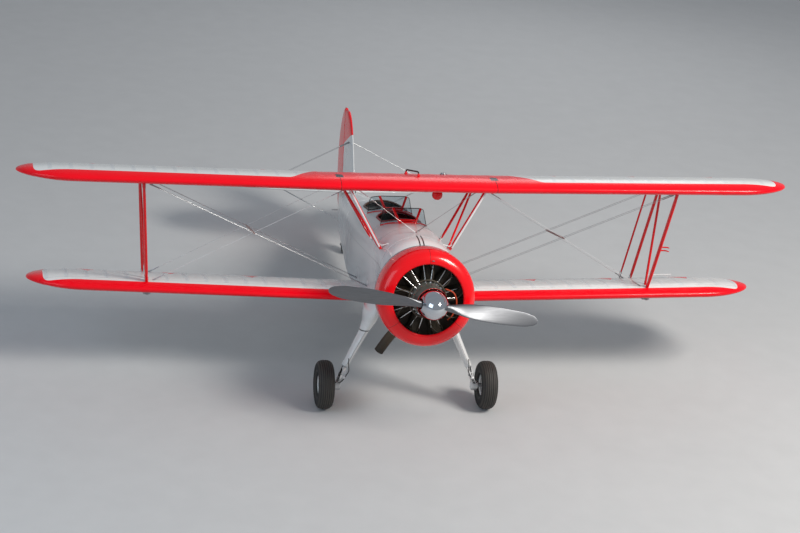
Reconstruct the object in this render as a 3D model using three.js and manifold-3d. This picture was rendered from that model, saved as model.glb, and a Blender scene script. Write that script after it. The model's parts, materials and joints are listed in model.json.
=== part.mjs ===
// A full-size two-seat biplane with a nine-cylinder radial engine, standing on its wheels and tail wheel.
// Everything is drawn in the flying attitude first, in millimetres: X to port, Y aft from the spinner's tip,
// Z up from the thrust line. The group at the end leans it back onto its three wheels.
import * as THREE from "three";
import { mergeVertices } from "three/addons/utils/BufferGeometryUtils.js";
import Module from "manifold-3d";

const wasm = await Module();
wasm.setup();

// Driving dimensions
const GAP = 0.35; // between pieces that touch
const CHORD = 1524;
const CENTRE_HALF = 982; // half width of the upper centre section
const UPPER = { leadY: 1353, leadZ: 1228, halfSpan: 4902, incidence: 3, dihedral: 0.74 };
const LOWER = { leadY: 2027, leadZ: -298, halfSpan: 4744, incidence: 3, dihedral: 1.63 };
const LOWER_START = 380; // the lower wing's inboard end, inside the body's outline
const LOWER_ROOT = 460; // where its dihedral starts
const TIP_LENGTH = 700; // span of the rounded tip
const TIP_PEAK = 0.32; // where along the chord the tip reaches furthest out
const TIP_RISE = 38;
const TRAIL_CUT = { back: 380, radius: 620, sides: 32 }; // cut out of the trailing edge over the cockpits
const FRONT_SPAR = 165;
const REAR_SPAR = 930;
const STRUT_X = { lower: 3256, upper: 3382, cabane: 890 };
const TIE_PAD = { half: 45, depth: 16 };
const FIREWALL_Y = 1300;
const CABIN_END_Y = 4100;
const TAIL_END_Y = 6935;
const SKIN = 20;
const DECK_Z = 250; // seam of the deck and the side panels
const BELLY_Z = -400; // seam of the side panels and the belly
const FLOOR_Z = -388;
const COWL = { openR: 433, openY: 537, outerR: 602, outerY: 690, endY: 985, endR: 584, wall: 14, sides: 36 };
const SPINNER = { baseY: 291, radius: 191, wall: 8, plate: 14, sides: 20 };
const HUB = { radius: 70, y: 200, back: 343 }; // the spinner's back plate is bolted round its rear end
const ENGINE = { cylinderY: 745, footR: 200, tipR: 555, count: 9, sides: 8 };
const FINS = { from: 240, to: 464, count: 4, crest: 86, root: 70 }; // ridges round each barrel
const ROCKER = { up: 512, side: 62, forward: 18, lean: 24, size: [60, 56, 124] }; // two boxes on each head
const PUSHROD = { footR: 190, footSide: 30, footY: 618, topAhead: 52, topSunk: 16, radius: 10 };
const COLLECTOR = { radius: 400, tube: 34, y: 884, stub: 26 };
const PROP = { radius: 1295, turn: 8, bladeHole: 66 };
const WHEEL = { x: 1045, y: 1638, z: -1325, radius: 311, width: 205, rim: 135 };
const TAIL_WHEEL = { y: 6655, z: -440, radius: 132, width: 76 };
const AXLE_R = 25;
const HINGE = { pin: 6, lug: 11, slot: 30, clear: 7 };
const AILERON = { hinge: 0.76, from: 2440, to: 4190, gap: 9 };
const RUDDER = { hingeY: 6975, nose: 26, low: -70, top: 1575 };
const ELEVATOR = { hingeY: 6850, nose: 24, z: 442, root: 70, tip: 1824 };
const TAIL_GAP = 9; // between fin and rudder, and tail plane and elevator
const WHEEL_SIDES = 28;
const RIM_SIDES = 20;


// Finishes
const paint = (color, roughness = 0.35, metalness = 0) =>
  new THREE.MeshStandardMaterial({ color, roughness, metalness });
const WHITE = paint(0xe9e8e2, 0.3);
const RED = paint(0xc4081c, 0.28);
const STEEL = paint(0x8d9094, 0.35, 0.9);
const CHROME = paint(0xc9ccd0, 0.12, 1);
const ALLOY = paint(0x9a9c9e, 0.4, 0.8);
const DARK = paint(0x2c2c2e, 0.6, 0.4);
const SOOT = paint(0x3b3733, 0.7, 0.6);
const RUBBER = paint(0x17171a, 0.85);
const GLASS = new THREE.MeshStandardMaterial({ color: 0xaebbc0, roughness: 0.05 });
Object.assign(GLASS, { transparent: true, opacity: 0.35 });
const LEATHER = paint(0x3a2a20, 0.7);

// From three.js geometry to a solid and back
function solid(geometry) {
  const bare = geometry.clone();
  for (const name of Object.keys(bare.attributes)) if (name !== "position") bare.deleteAttribute(name);
  const merged = mergeVertices(bare, 1e-3);
  const triVerts = new Uint32Array(merged.index.array);
  const vertProperties = new Float32Array(merged.attributes.position.array);
  const made = new wasm.Manifold(new wasm.Mesh({ numProp: 3, vertProperties, triVerts }));
  if (made.volume() >= 0) return made;
  for (let i = 0; i < triVerts.length; i += 3)
    [triVerts[i + 1], triVerts[i + 2]] = [triVerts[i + 2], triVerts[i + 1]];
  return new wasm.Manifold(new wasm.Mesh({ numProp: 3, vertProperties, triVerts }));
}

function geometryOf(made) {
  const { vertProperties, triVerts, numProp } = made.getMesh();
  const position = new Float32Array((vertProperties.length / numProp) * 3);
  for (let i = 0; i < position.length / 3; i++)
    for (let k = 0; k < 3; k++) position[3 * i + k] = vertProperties[numProp * i + k];
  const geometry = new THREE.BufferGeometry();
  geometry.setAttribute("position", new THREE.BufferAttribute(position, 3));
  geometry.setIndex([...triVerts]);
  const flat = geometry.toNonIndexed();
  flat.computeVertexNormals();
  return flat;
}

const join = (...solids) => solids.reduce((all, one) => all.add(one));
const cut = (body, ...tools) => tools.reduce((left, one) => left.subtract(one), body);
const vec = (x, y, z) => new THREE.Vector3(x, y, z);

// A box from its lowest and highest corners.
function block(low, high) {
  const size = high.map((v, i) => v - low[i]);
  const made = new THREE.BoxGeometry(...size);
  made.translate(...low.map((v, i) => v + size[i] / 2));
  return solid(made);
}

// A round bar between two points; farR makes it a cone.
function rod(a, b, r, sides = 10, farR = r) {
  const along = b.clone().sub(a);
  const made = new THREE.CylinderGeometry(farR, r, along.length(), sides);
  made.applyQuaternion(new THREE.Quaternion().setFromUnitVectors(vec(0, 1, 0), along.clone().normalize()));
  made.translate(...a.clone().add(b).multiplyScalar(0.5).toArray());
  return solid(made);
}

// A rough ball, for knees of bent pipes and rods
const ball = (at, r) => solid(new THREE.IcosahedronGeometry(r, 0).translate(at.x, at.y, at.z));

// A closed skin through rings of points, all with the same count.
function loft(rings) {
  const n = rings[0].length;
  const points = rings.flat().flatMap((p) => [p.x, p.y, p.z]);
  const index = [];
  for (let r = 0; r + 1 < rings.length; r++)
    for (let i = 0; i < n; i++) {
      const [a, b] = [r * n + i, r * n + ((i + 1) % n)];
      index.push(a, b, a + n, b, b + n, a + n);
    }
  const caps = [0, rings.length - 1];
  caps.forEach((r, k) => {
    const middle = points.length / 3;
    const sum = rings[r].reduce((s, p) => s.add(p), vec(0, 0, 0)).divideScalar(n);
    points.push(sum.x, sum.y, sum.z);
    for (let i = 0; i < n; i++) {
      const [a, b] = [r * n + i, r * n + ((i + 1) % n)];
      index.push(...(k === 0 ? [b, a, middle] : [a, b, middle]));
    }
  });
  const made = new THREE.BufferGeometry();
  made.setAttribute("position", new THREE.Float32BufferAttribute(points, 3));
  made.setIndex(index);
  return solid(made);
}

// A turned shape about the thrust line: rows are [radius, y].
function turned(rows, sides) {
  const made = new THREE.LatheGeometry(
    rows.map(([r, y]) => new THREE.Vector2(r, y)),
    sides,
  );
  return solid(made);
}

// A bar of streamlined section between two points: thick across, wide fore and aft.
function faired(a, b, wide, thick, farWide = wide, farThick = thick) {
  const along = b.clone().sub(a).normalize();
  const aft = vec(0, 1, 0).addScaledVector(along, -along.y).normalize();
  const side = aft.clone().cross(along);
  const ring = (at, w, t) =>
    [[-0.5, 0], [-0.42, 0.3], [-0.22, 0.5], [0.05, 0.46], [0.32, 0.26], [0.5, 0]]
      .flatMap(([u, v], i) => (i === 0 || i === 5 ? [[u, v]] : [[u, v], [u, -v]]))
      .sort((p, q) => Math.atan2(p[1], p[0]) - Math.atan2(q[1], q[0]))
      .map(([u, v]) => at.clone().addScaledVector(aft, u * w).addScaledVector(side, v * t));
  return loft([ring(a, wide, thick), ring(b, farWide, farThick)]);
}

const mirrored = (made) => made.mirror([1, 0, 0]);

// Wings. The section is a cambered one, 13% thick, with its highest camber at a fifth of the chord.
const AIRFOIL_X = [0, 0.012, 0.05, 0.13, 0.27, 0.46, 0.7, 1];
function airfoil(grow = 0) {
  const thickness = (x) => {
    const round = 0.2969 * Math.sqrt(x) - 0.126 * x;
    return 0.65 * (round - 0.3516 * x ** 2 + 0.2843 * x ** 3 - 0.1036 * x ** 4) + 0.002 * x;
  };
  const camber = (x) => (x < 0.2 ? 0.5 * (0.4 * x - x * x) : 0.03125 * (0.6 + 0.4 * x - x * x));
  const above = AIRFOIL_X.map((x) => [x, camber(x) + thickness(x), 1]);
  const below = AIRFOIL_X.slice(1)
    .reverse()
    .map((x) => [x, camber(x) - thickness(x), -1]);
  return [...above, ...below].map(([x, z, side]) => [
    x * CHORD + (x === 0 ? -grow : x === 1 ? grow : 0),
    z * CHORD + side * grow * 1.2,
  ]);
}

// One ring of a wing at a span station. u runs 0 to 1 through the rounded tip.
function wingRing(wing, x, u, grow) {
  const share = Math.sqrt(Math.max(0, 1 - u * u));
  const turn = THREE.MathUtils.degToRad(wing.incidence);
  const rise = Math.tan(THREE.MathUtils.degToRad(wing.dihedral)) * Math.max(0, x - wing.rootX);
  return airfoil(grow).map(([y, z]) => {
    const [along, up] = [TIP_PEAK * CHORD * (1 - share) + y * share, z * share];
    return vec(
      x,
      wing.leadY + along * Math.cos(turn) + up * Math.sin(turn),
      wing.leadZ - along * Math.sin(turn) + up * Math.cos(turn) + rise + TIP_RISE * u * u,
    );
  });
}

function wingBody(wing, fromX, grow = 0) {
  const start = wing.halfSpan - TIP_LENGTH;
  const rounds = [0, 0.42, 0.7, 0.88, 0.97, 0.997];
  return loft([
    wingRing(wing, fromX, 0, grow),
    ...rounds.map((u) => wingRing(wing, start + TIP_LENGTH * u, u, grow)),
  ]);
}

const upperWing = { ...UPPER, rootX: CENTRE_HALF };
const lowerWing = { ...LOWER, rootX: LOWER_ROOT };
const centreWing = { ...UPPER, rootX: CENTRE_HALF, halfSpan: CENTRE_HALF };

// A point inside a wing at a share of the chord: the middle of its thickness, and half the thickness there.
function insideWing(wing, x, share) {
  const at = share * CHORD;
  const turn = THREE.MathUtils.degToRad(wing.incidence);
  const rise = Math.tan(THREE.MathUtils.degToRad(wing.dihedral)) * Math.max(0, x - wing.rootX);
  const height = (side) => {
    const count = AIRFOIL_X.length;
    const row = airfoil().filter((_, i) => (side > 0 ? i < count : i >= count || i === 0));
    const sorted = row.sort((p, q) => p[0] - q[0]);
    const next = sorted.findIndex(([y]) => y >= at);
    const [[y0, z0], [y1, z1]] = [sorted[next - 1], sorted[next]];
    return z0 + ((z1 - z0) * (at - y0)) / (y1 - y0);
  };
  const [top, low] = [height(1), height(-1)];
  const mid = (top + low) / 2;
  return {
    point: vec(
      x,
      wing.leadY + at * Math.cos(turn) + mid * Math.sin(turn),
      wing.leadZ - at * Math.sin(turn) + mid * Math.cos(turn) + rise,
    ),
    half: (top - low) / 2,
  };
}

// A plain knuckle hinge: a lug with a pin on the fixed piece, a slot with two bores in the moving one.
// The axis runs along dir, and the fixed piece is on the side of -Y.
function hinge(fixed, moving, at, dir, reach, nose) {
  const axis = dir.clone().normalize();
  const aft = vec(0, 1, 0).addScaledVector(axis, -axis.y).normalize();
  const basis = new THREE.Matrix4().makeBasis(axis, aft, axis.clone().cross(aft)).setPosition(at);
  const place = (g) => solid(g.applyMatrix4(basis));
  const bar = (r, length, sides) => new THREE.CylinderGeometry(r, r, length, sides).rotateZ(Math.PI / 2);
  const box = (x, y0, y1, z) => new THREE.BoxGeometry(x, y1 - y0, z).translate(0, (y0 + y1) / 2, 0);
  const lug = join(
    place(box(HINGE.slot - 2 * HINGE.clear, -reach, HINGE.lug, 2 * HINGE.lug)),
    place(bar(HINGE.pin, HINGE.slot + 18, 6)),
  );
  const hole = join(
    place(box(HINGE.slot, -nose - 12, HINGE.lug + HINGE.clear, 2 * nose + 60)),
    place(bar((HINGE.pin + 0.4) / Math.cos(Math.PI / 12), HINGE.slot + 20, 12)),
  );
  return [join(fixed, lug), cut(moving, hole)];
}

// A wing panel with its aileron: the aileron's nose is round about the hinge line, in a round cove.
function panelWithAileron(wing, fromX) {
  const whole = wingBody(wing, fromX);
  const inner = insideWing(wing, AILERON.from, AILERON.hinge);
  const outer = insideWing(wing, AILERON.to, AILERON.hinge);
  const nose = inner.half - 1.5;
  const along = outer.point.clone().sub(inner.point).normalize();
  const tube = (r, grow) =>
    rod(
      inner.point.clone().addScaledVector(along, -grow),
      outer.point.clone().addScaledVector(along, grow),
      r,
      14,
    );
  const aftOf = (y, grow) =>
    block(
      [AILERON.from - grow, inner.point.y + y, -3000],
      [AILERON.to + grow, inner.point.y + 1000, 3000],
    );
  const gap = AILERON.gap;
  const cove = join(aftOf(-nose * 0.55, gap), tube(nose + gap, gap));
  let fixed = cut(whole, cove);
  let moving = join(whole.intersect(aftOf(0, 0)), tube(nose, 0));
  for (const share of [0.12, 0.5, 0.88]) {
    const at = inner.point.clone().lerp(outer.point, share);
    [fixed, moving] = hinge(fixed, moving, at, along, nose + gap + 12, nose);
  }
  return { fixed, moving, inner, outer, nose, along };
}

// Body sections. The top of each is a half ellipse on the shoulder line, the belly another on the chine.
// columns: y, half width, crown, shoulder, chine, keel
const SECTIONS = [
  [930, 470, 470, 10, -10, -480],
  [1040, 500, 545, 60, -60, -530],
  [1160, 492, 612, 140, -130, -565],
  [FIREWALL_Y, 475, 640, 210, -200, -580],
  [1490, 458, 650, 290, -250, -588],
  [2090, 462, 682, 330, -290, -585],
  [2700, 462, 676, 340, -290, -572],
  [3400, 458, 672, 345, -280, -545],
  [CABIN_END_Y, 415, 650, 335, -250, -495],
  [4700, 350, 560, 310, -205, -420],
  [5400, 276, 482, 290, -150, -325],
  [6100, 200, 432, 290, -90, -235],
  [6600, 128, 404, 290, -40, -165],
  [TAIL_END_Y, 58, 384, 290, 20, -95],
];
const ARC = 6;
const FAR = 9000;

function bodyRing([y, half, crown, shoulder, chine, keel], grow) {
  const ring = [];
  for (let i = 0; i <= ARC; i++) {
    const t = (Math.PI * i) / ARC;
    ring.push(vec((half + grow) * Math.cos(t), y, shoulder + (crown - shoulder + grow) * Math.sin(t)));
  }
  for (let i = 0; i <= ARC; i++) {
    const t = (Math.PI * i) / ARC;
    ring.push(vec(-(half + grow) * Math.cos(t), y, chine + (keel - chine - grow) * Math.sin(t)));
  }
  return ring;
}

// The port half and its mirror image, so that both sides are alike to the last facet.
function bodyLoft(grow) {
  const whole = loft(SECTIONS.map((row) => bodyRing(row, grow)));
  const port = whole.intersect(block([0, -FAR, -FAR], [FAR, FAR, FAR]));
  return join(port, mirrored(port));
}

const bodyOuter = bodyLoft(0);
const bodyInner = bodyLoft(-SKIN);
const bodyGrown = bodyLoft(GAP);

// The deck's height at a station and a distance from the middle.
function deckHeight(x, y) {
  const next = SECTIONS.findIndex((row) => row[0] >= y);
  const [a, b] = [SECTIONS[next - 1], SECTIONS[next]];
  const t = (y - a[0]) / (b[0] - a[0]);
  const [, half, crown, shoulder] = a.map((v, i) => v + (b[i] - v) * t);
  return shoulder + (crown - shoulder) * Math.sqrt(Math.max(0, 1 - (x / half) ** 2));
}

// Cockpit openings: long rounded holes in the deck
const COCKPITS = {
  front: { y: 2640, half: 255, length: 660 },
  rear: { y: 3590, half: 255, length: 680 },
};

const HOLE = { corner: 190, height: 900, steps: 3 };
const BOARD = { ahead: 50, thick: 14, up: 60, inset: 3 }; // the instrument board in front of each hole

function cockpitHole({ y, half, length }) {
  const shape = new THREE.Shape();
  const r = HOLE.corner;
  const [x0, x1, y0, y1] = [-half, half, y - length / 2, y + length / 2];
  shape.moveTo(x0 + r, y0);
  shape.lineTo(x1 - r, y0);
  shape.absarc(x1 - r, y0 + r, r, -Math.PI / 2, 0);
  shape.lineTo(x1, y1 - r);
  shape.absarc(x1 - r, y1 - r, r, 0, Math.PI / 2);
  shape.lineTo(x0 + r, y1);
  shape.absarc(x0 + r, y1 - r, r, Math.PI / 2, Math.PI);
  shape.lineTo(x0, y0 + r);
  shape.absarc(x0 + r, y0 + r, r, Math.PI, 1.5 * Math.PI);
  const sizes = { depth: HOLE.height, bevelEnabled: false, curveSegments: HOLE.steps };
  return solid(new THREE.ExtrudeGeometry(shape, sizes));
}

// Body panels: nose, deck, two sides, belly and the closed tail
function bodyPanels() {
  const shell = cut(bodyOuter, bodyInner);
  const cabin = shell.intersect(block([-FAR, FIREWALL_Y + GAP, -FAR], [FAR, CABIN_END_Y, FAR]));
  const panels = {};
  const holes = Object.values(COCKPITS).map((c) => cockpitHole(c).translate([0, 0, DECK_Z]));
  const boardShape = bodyLoft(BOARD.inset - SKIN);
  const shelf = (y) => boardShape.intersect(block([-FAR, y, DECK_Z + BOARD.up], [FAR, y + BOARD.thick, FAR]));
  const deck = cut(cabin.intersect(block([-FAR, 0, DECK_Z], [FAR, FAR, FAR])), ...holes);
  const boards = Object.values(COCKPITS).map(({ y, length }) => shelf(y - length / 2 - BOARD.ahead));
  panels.top_deck = join(deck, ...boards);
  for (const [name, x0, x1] of [["right", -FAR, 0], ["left", 0, FAR]])
    panels["side_panel_" + name] = cabin.intersect(
      block([x0, 0, BELLY_Z + GAP], [x1, FAR, DECK_Z - GAP]),
    );
  panels.belly_panel = cabin.intersect(block([-FAR, 0, -FAR], [FAR, FAR, BELLY_Z]));
  panels.nose_cowling = bodyOuter.intersect(block([-FAR, 0, -FAR], [FAR, FIREWALL_Y, FAR]));
  panels.rear_body = bodyOuter.intersect(block([-FAR, CABIN_END_Y + GAP, -FAR], [FAR, FAR, FAR]));
  return panels;
}

// Ring cowl round the engine, open at both ends
function cowlRing() {
  const { openR, openY, outerR, outerY, endY, endR, wall } = COWL;
  const [lipR, steps] = [openR + 18, 5];
  const lip = [];
  for (let i = 0; i <= steps; i++) {
    const t = (Math.PI / 2) * (i / steps);
    lip.push([lipR + (outerR - lipR) * Math.sin(t), outerY - (outerY - openY) * Math.cos(t)]);
  }
  const outer = [[openR + 4, openY + 5], ...lip, [endR, endY]];
  const inner = [
    [endR - wall, endY],
    [outerR - wall - 6, outerY + 6],
    [outerR - 70, openY + 72],
    [openR, openY + 24],
  ];
  const rows = [...outer, ...inner];
  return turned([...rows, rows[0]], COWL.sides);
}

// One direction for each cylinder, straight up first
const spokes = [...Array(ENGINE.count).keys()].map((i) => {
  const turn = (2 * Math.PI * i) / ENGINE.count;
  return { out: vec(Math.sin(turn), 0, Math.cos(turn)), across: vec(Math.cos(turn), 0, -Math.sin(turn)) };
});

// The nine cylinders, each turned about its own spoke: rows are [radius, height].
function cylinders(rows, sides) {
  const barrels = spokes.map(({ out, across }) => {
    const profile = rows.map(([r, height]) => new THREE.Vector2(r, height));
    const barrel = new THREE.LatheGeometry(profile, sides);
    barrel.applyMatrix4(new THREE.Matrix4().makeBasis(across, out, vec(0, -1, 0)));
    return solid(barrel.translate(0, ENGINE.cylinderY, 0));
  });
  return join(...barrels);
}

// A barrel with its cooling fins, drawn as a few sharp ridges, and a plain head
function finnedRows() {
  const { from, to, count, crest, root } = FINS;
  const pitch = (to - from) / count;
  const ridges = [...Array(count).keys()].flatMap((i) => [
    [crest, from + (i + 0.5) * pitch],
    [root, from + (i + 1) * pitch],
  ]);
  const head = [[50, ENGINE.tipR], [0, ENGINE.tipR]];
  return [[0, ENGINE.footR], [root, ENGINE.footR], [root, from], ...ridges, ...head];
}

// Two rocker boxes lean away from each other on every head, and a pushrod tube runs up to each.
function valveGear() {
  const lean = THREE.MathUtils.degToRad(ROCKER.lean);
  const pairs = spokes.flatMap(({ out, across }) =>
    [-1, 1].flatMap((side) => {
      const up = out.clone().multiplyScalar(Math.cos(lean)).addScaledVector(across, side * Math.sin(lean));
      const beside = vec(0, 1, 0).cross(up);
      const middle = out.clone().multiplyScalar(ROCKER.up).addScaledVector(across, side * ROCKER.side);
      middle.y = ENGINE.cylinderY - ROCKER.forward;
      const basis = new THREE.Matrix4().makeBasis(beside, up, vec(0, -1, 0)).setPosition(middle);
      const box = solid(new THREE.BoxGeometry(...ROCKER.size).applyMatrix4(basis));
      const foot = out.clone().multiplyScalar(PUSHROD.footR).addScaledVector(across, side * PUSHROD.footSide);
      foot.y = PUSHROD.footY;
      const top = middle.clone().addScaledVector(up, -PUSHROD.topSunk);
      top.y -= PUSHROD.topAhead;
      return [box, rod(foot, top, PUSHROD.radius, 4)];
    }),
  );
  return join(...pairs);
}

// Radial engine: shaft flange, crankcase and nose case, nine cylinders and the posts that carry the cowl
function engine() {
  const { outerR, outerY, endR, endY, wall } = COWL;
  // columns: radius, y
  const caseRows = [
    [0, HUB.back + GAP], [60, HUB.back + GAP], [60, 352], [29.5, 352], [29.5, 420], [78, 425], [120, 470],
    [172, 545], [205, 600], [232, 660], [232, 840], [190, 860], [190, 929.6], [0, 929.6],
  ];
  const room = turned(
    [[0, outerY + 6], [outerR - wall - 6 - GAP, outerY + 6], [endR - wall - GAP, endY], [0, endY]],
    COWL.sides,
  );
  const posts = spokes.map(({ out }) => {
    const foot = out.clone().multiplyScalar(ENGINE.tipR - 20).setY(ENGINE.cylinderY);
    return rod(foot, out.clone().multiplyScalar(outerR).setY(ENGINE.cylinderY), 16, 6).intersect(room);
  });
  return join(turned(caseRows, 20), cylinders(finnedRows(), ENGINE.sides), valveGear(), ...posts);
}

// Where the tail pipe's stretches meet, from the collector to its open end
const PIPE_BENDS = [
  vec(-195, COLLECTOR.y, -350),
  vec(-250, 1075, -455),
  vec(-345, 1150, -600),
  vec(-450, 1215, -790),
];
const PIPE = { startR: 50, radius: 60, knee: 66, room: 84, kneeRoom: 106 };

// Exhaust collector behind the cylinders, with nine stubs; its tail pipe leaves low on the starboard side
function exhaust() {
  const { radius, tube, y, stub } = COLLECTOR;
  const ring = new THREE.TorusGeometry(radius, tube, 6, 20).rotateX(Math.PI / 2).translate(0, y, 0);
  const pipe = PIPE_BENDS.slice(1).map((bend, i) =>
    rod(PIPE_BENDS[i], bend, i ? PIPE.radius : PIPE.startR, 10, PIPE.radius),
  );
  const knees = PIPE_BENDS.slice(1, -1).map((p) => ball(p, PIPE.knee));
  const stubs = spokes.map(({ out }) => {
    const foot = out.clone().multiplyScalar(radius);
    return rod(foot.clone().setY(y), foot.clone().setY(ENGINE.cylinderY), stub, 6);
  });
  const barrelRoom = FINS.crest + GAP;
  const room = cylinders([[0, 300], [barrelRoom, 300], [barrelRoom, 500], [0, 500]], 10);
  return join(solid(ring), ...pipe, ...knees, cut(join(...stubs), room));
}

// Propeller: hub and two twisted blades
function propeller() {
  const { radius, back } = HUB;
  const hubRows = [[0, 110], [40, 110], [62, 130], [62, 270], [radius, 275], [radius, back], [0, back]];
  // columns: share of the radius, width, thickness, pitch in degrees
  const stations = [
    [0.06, 84, 80, 0],
    [0.16, 92, 78, 30],
    [0.3, 176, 44, 38],
    [0.5, 206, 26, 27],
    [0.75, 190, 16, 19],
    [0.92, 140, 10, 15],
    [0.995, 46, 5, 14],
  ];
  const corners = 8;
  const blade = loft(
    stations.map(([share, wide, thick, pitch]) => {
      const turn = THREE.MathUtils.degToRad(pitch);
      return [...Array(corners).keys()].map((i) => {
        const t = (2 * Math.PI * i) / corners;
        const [u, v] = [(wide / 2) * Math.cos(t), (thick / 2) * Math.sin(t)];
        return vec(
          share * PROP.radius,
          HUB.y + u * Math.sin(turn) + v * Math.cos(turn),
          u * Math.cos(turn) - v * Math.sin(turn),
        );
      });
    }),
  );
  const boss = rod(vec(-110, HUB.y, 0), vec(110, HUB.y, 0), 58, 16);
  return join(turned(hubRows, 16), boss, blade, blade.rotate([0, 180, 0])).rotate([0, PROP.turn, 0]);
}

// Polished spinner shell with its back plate and two blade holes
function spinner() {
  const { baseY, radius, wall, plate, sides } = SPINNER;
  const hole = (HUB.radius + GAP) / Math.cos(Math.PI / sides);
  const steps = 5;
  const rows = [...Array(steps + 1).keys()].map((i) => {
    const t = (Math.PI / 2) * (i / steps);
    return [radius * Math.sin(t), baseY * (1 - Math.cos(t) ** 1.15)];
  });
  const inner = rows
    .slice(1, -1)
    .reverse()
    .map(([r, y]) => [r - wall, y + wall + 3]);
  const back = [[radius, baseY + plate], [hole, baseY + plate], [hole, baseY], [radius - wall, baseY]];
  const shell = turned([...rows, ...back, ...inner, [0, rows[1][1] + wall]], sides);
  const bladeHoles = rod(vec(-300, HUB.y, 0), vec(300, HUB.y, 0), PROP.bladeHole, 16);
  return cut(shell, bladeHoles.rotate([0, PROP.turn, 0]));
}

// A ring turned about X from its outboard face inwards: rows are [radius, place across].
const wheelRing = (rows, sides) => turned([...rows, rows[0]], sides).rotate([0, 0, -90]);

// Wheels turn about X. The flat of one side of the tyre rests on the floor.
function tyre(radius, width, rim, sides) {
  const half = width / 2;
  const shoulder = [
    [radius * 0.62, half * 0.94],
    [radius * 0.82, half],
    [radius * 0.94, half * 0.8],
    [radius, half * 0.4],
  ];
  const inboard = shoulder.map(([r, x]) => [r, -x]);
  return wheelRing([[rim, -half * 0.66], ...inboard, ...shoulder.toReversed(), [rim, half * 0.66]], sides);
}

function rimDisc(rim, width, bore, sides) {
  const half = width / 2;
  const r = rim - GAP;
  const rows = [
    [bore, -half * 0.55], [46, -half * 0.55], [60, -half * 0.2], [r - 24, -half * 0.26], [r, -half * 0.62],
    [r, half * 0.62], [r - 24, half * 0.22], [60, half * 0.1], [46, half * 0.55], [bore, half * 0.55],
  ];
  return wheelRing(rows, sides);
}

// A small wheel with its tyre bonded on, bored for its axle
function solidTyre(radius, width, bore, sides) {
  const half = width / 2;
  const outboard = [
    [50, half * 0.7],
    [radius * 0.72, half],
    [radius * 0.93, half * 0.8],
    [radius, half * 0.36],
  ];
  const inboard = outboard.map(([r, x]) => [r, -x]);
  return wheelRing([[bore, -half * 0.9], ...inboard, ...outboard.toReversed(), [bore, half * 0.9]], sides);
}

// Landing gear, port side: a faired leg from the body's shoulder, then the strut's piston, axle and links
const LEG_TOP = vec(470, 1590, -395);
const LEG_END = vec(785, 1612, -1045);
const AXLE_IN = vec(888, 1638, -1325);

function gearLeg() {
  // columns: share along the leg, push outboard, width fore and aft, thickness
  const rows = [
    [-0.42, 60, 560, 40],
    [-0.2, 58, 600, 190],
    [0, 30, 540, 200],
    [0.14, 4, 400, 170],
    [0.3, 0, 280, 132],
    [0.6, 0, 215, 108],
    [1, 0, 175, 92],
  ];
  const corners = 14;
  const ring = (at, wide, thick) =>
    [...Array(corners).keys()].map((i) => {
      const t = (2 * Math.PI * i) / corners;
      const lean = Math.cos(t) > 0 ? 0.56 : 0.44;
      return vec(at.x + (thick / 2) * Math.sin(t), at.y + wide * lean * Math.cos(t), at.z);
    });
  const made = loft(
    rows.map(([share, outboard, wide, thick]) => {
      const at = LEG_TOP.clone().lerp(LEG_END, share);
      return ring(at.add(vec(outboard, 0, 0)), wide, thick);
    }),
  );
  return cut(made, bodyGrown, wingBody(lowerWing, LOWER_START, GAP));
}

const PISTON = { radius: 33, collar: 46, knuckle: 52, link: 13, elbow: vec(-60, -150, 130), elbowR: 20 };
const JACK_PAD = { low: vec(-40, -30, -66), high: vec(30, 30, -20) };
function gearPiston() {
  const down = LEG_END.clone().sub(LEG_TOP).normalize();
  const collar = LEG_END.clone().addScaledVector(down, 34);
  const elbow = AXLE_IN.clone().add(PISTON.elbow);
  const pieces = [
    rod(LEG_END, AXLE_IN, PISTON.radius, 10),
    rod(LEG_END, collar, PISTON.collar, 10),
    rod(AXLE_IN.clone().add(vec(-48, 0, 0)), AXLE_IN.clone().add(vec(44, 0, 0)), PISTON.knuckle, 10),
    rod(AXLE_IN, vec(WHEEL.x + WHEEL.width * 0.3, WHEEL.y, WHEEL.z), AXLE_R, 16),
    rod(collar.clone().add(vec(0, -35, -10)), elbow, PISTON.link, 4),
    rod(elbow, AXLE_IN.clone().add(vec(0, -30, 10)), PISTON.link, 4),
    ball(elbow, PISTON.elbowR),
    block(AXLE_IN.clone().add(JACK_PAD.low).toArray(), AXLE_IN.clone().add(JACK_PAD.high).toArray()),
  ];
  const under = block([-FAR, -FAR, LEG_END.z - GAP], [FAR, FAR, FAR]);
  return cut(join(...pieces), under);
}

// Fin, rudder and tail planes are flat with round edges: half a section is [share of the chord, share of the
// half thickness], and its other side is the same with the sign turned.
const NOSE_SHAPE = [[0, 0], [0.02, 0.35], [0.1, 0.75], [0.45, 1], [1, 1]];
const RUDDER_SHAPE = [[0, 1], [0.35, 0.75], [0.93, 0.22], [1, 0]];
const ELEVATOR_SHAPE = [[0, 1], [0.4, 0.72], [0.93, 0.2], [1, 0]];

function finRing(z, from, to, half) {
  const place = ([u, v], side) => vec(side * v * half, from + u * (to - from), z);
  const starboard = NOSE_SHAPE.slice(1).toReversed();
  return [...NOSE_SHAPE.map((p) => place(p, 1)), ...starboard.map((p) => place(p, -1))];
}

function fin() {
  // columns: height, leading edge
  const rows = [
    [330, 5985], [620, 6085], [900, 6200], [1150, 6325], [1350, 6470], [1480, 6630], [1540, 6740],
  ];
  const aft = RUDDER.hingeY - RUDDER.nose - TAIL_GAP;
  return cut(loft(rows.map(([z, lead]) => finRing(z, lead, aft, RUDDER.nose))), bodyGrown);
}

// A movable tail surface's ring, from its hinge to its trailing edge: pairs of [across, y].
function flapRing(shape, hingeY, tail, half) {
  const port = shape.map(([u, v]) => [v * half, hingeY + u * (tail - hingeY)]);
  const starboard = port.slice(0, -1).toReversed();
  return [...port, ...starboard.map(([across, y]) => [-across, y])];
}

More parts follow.
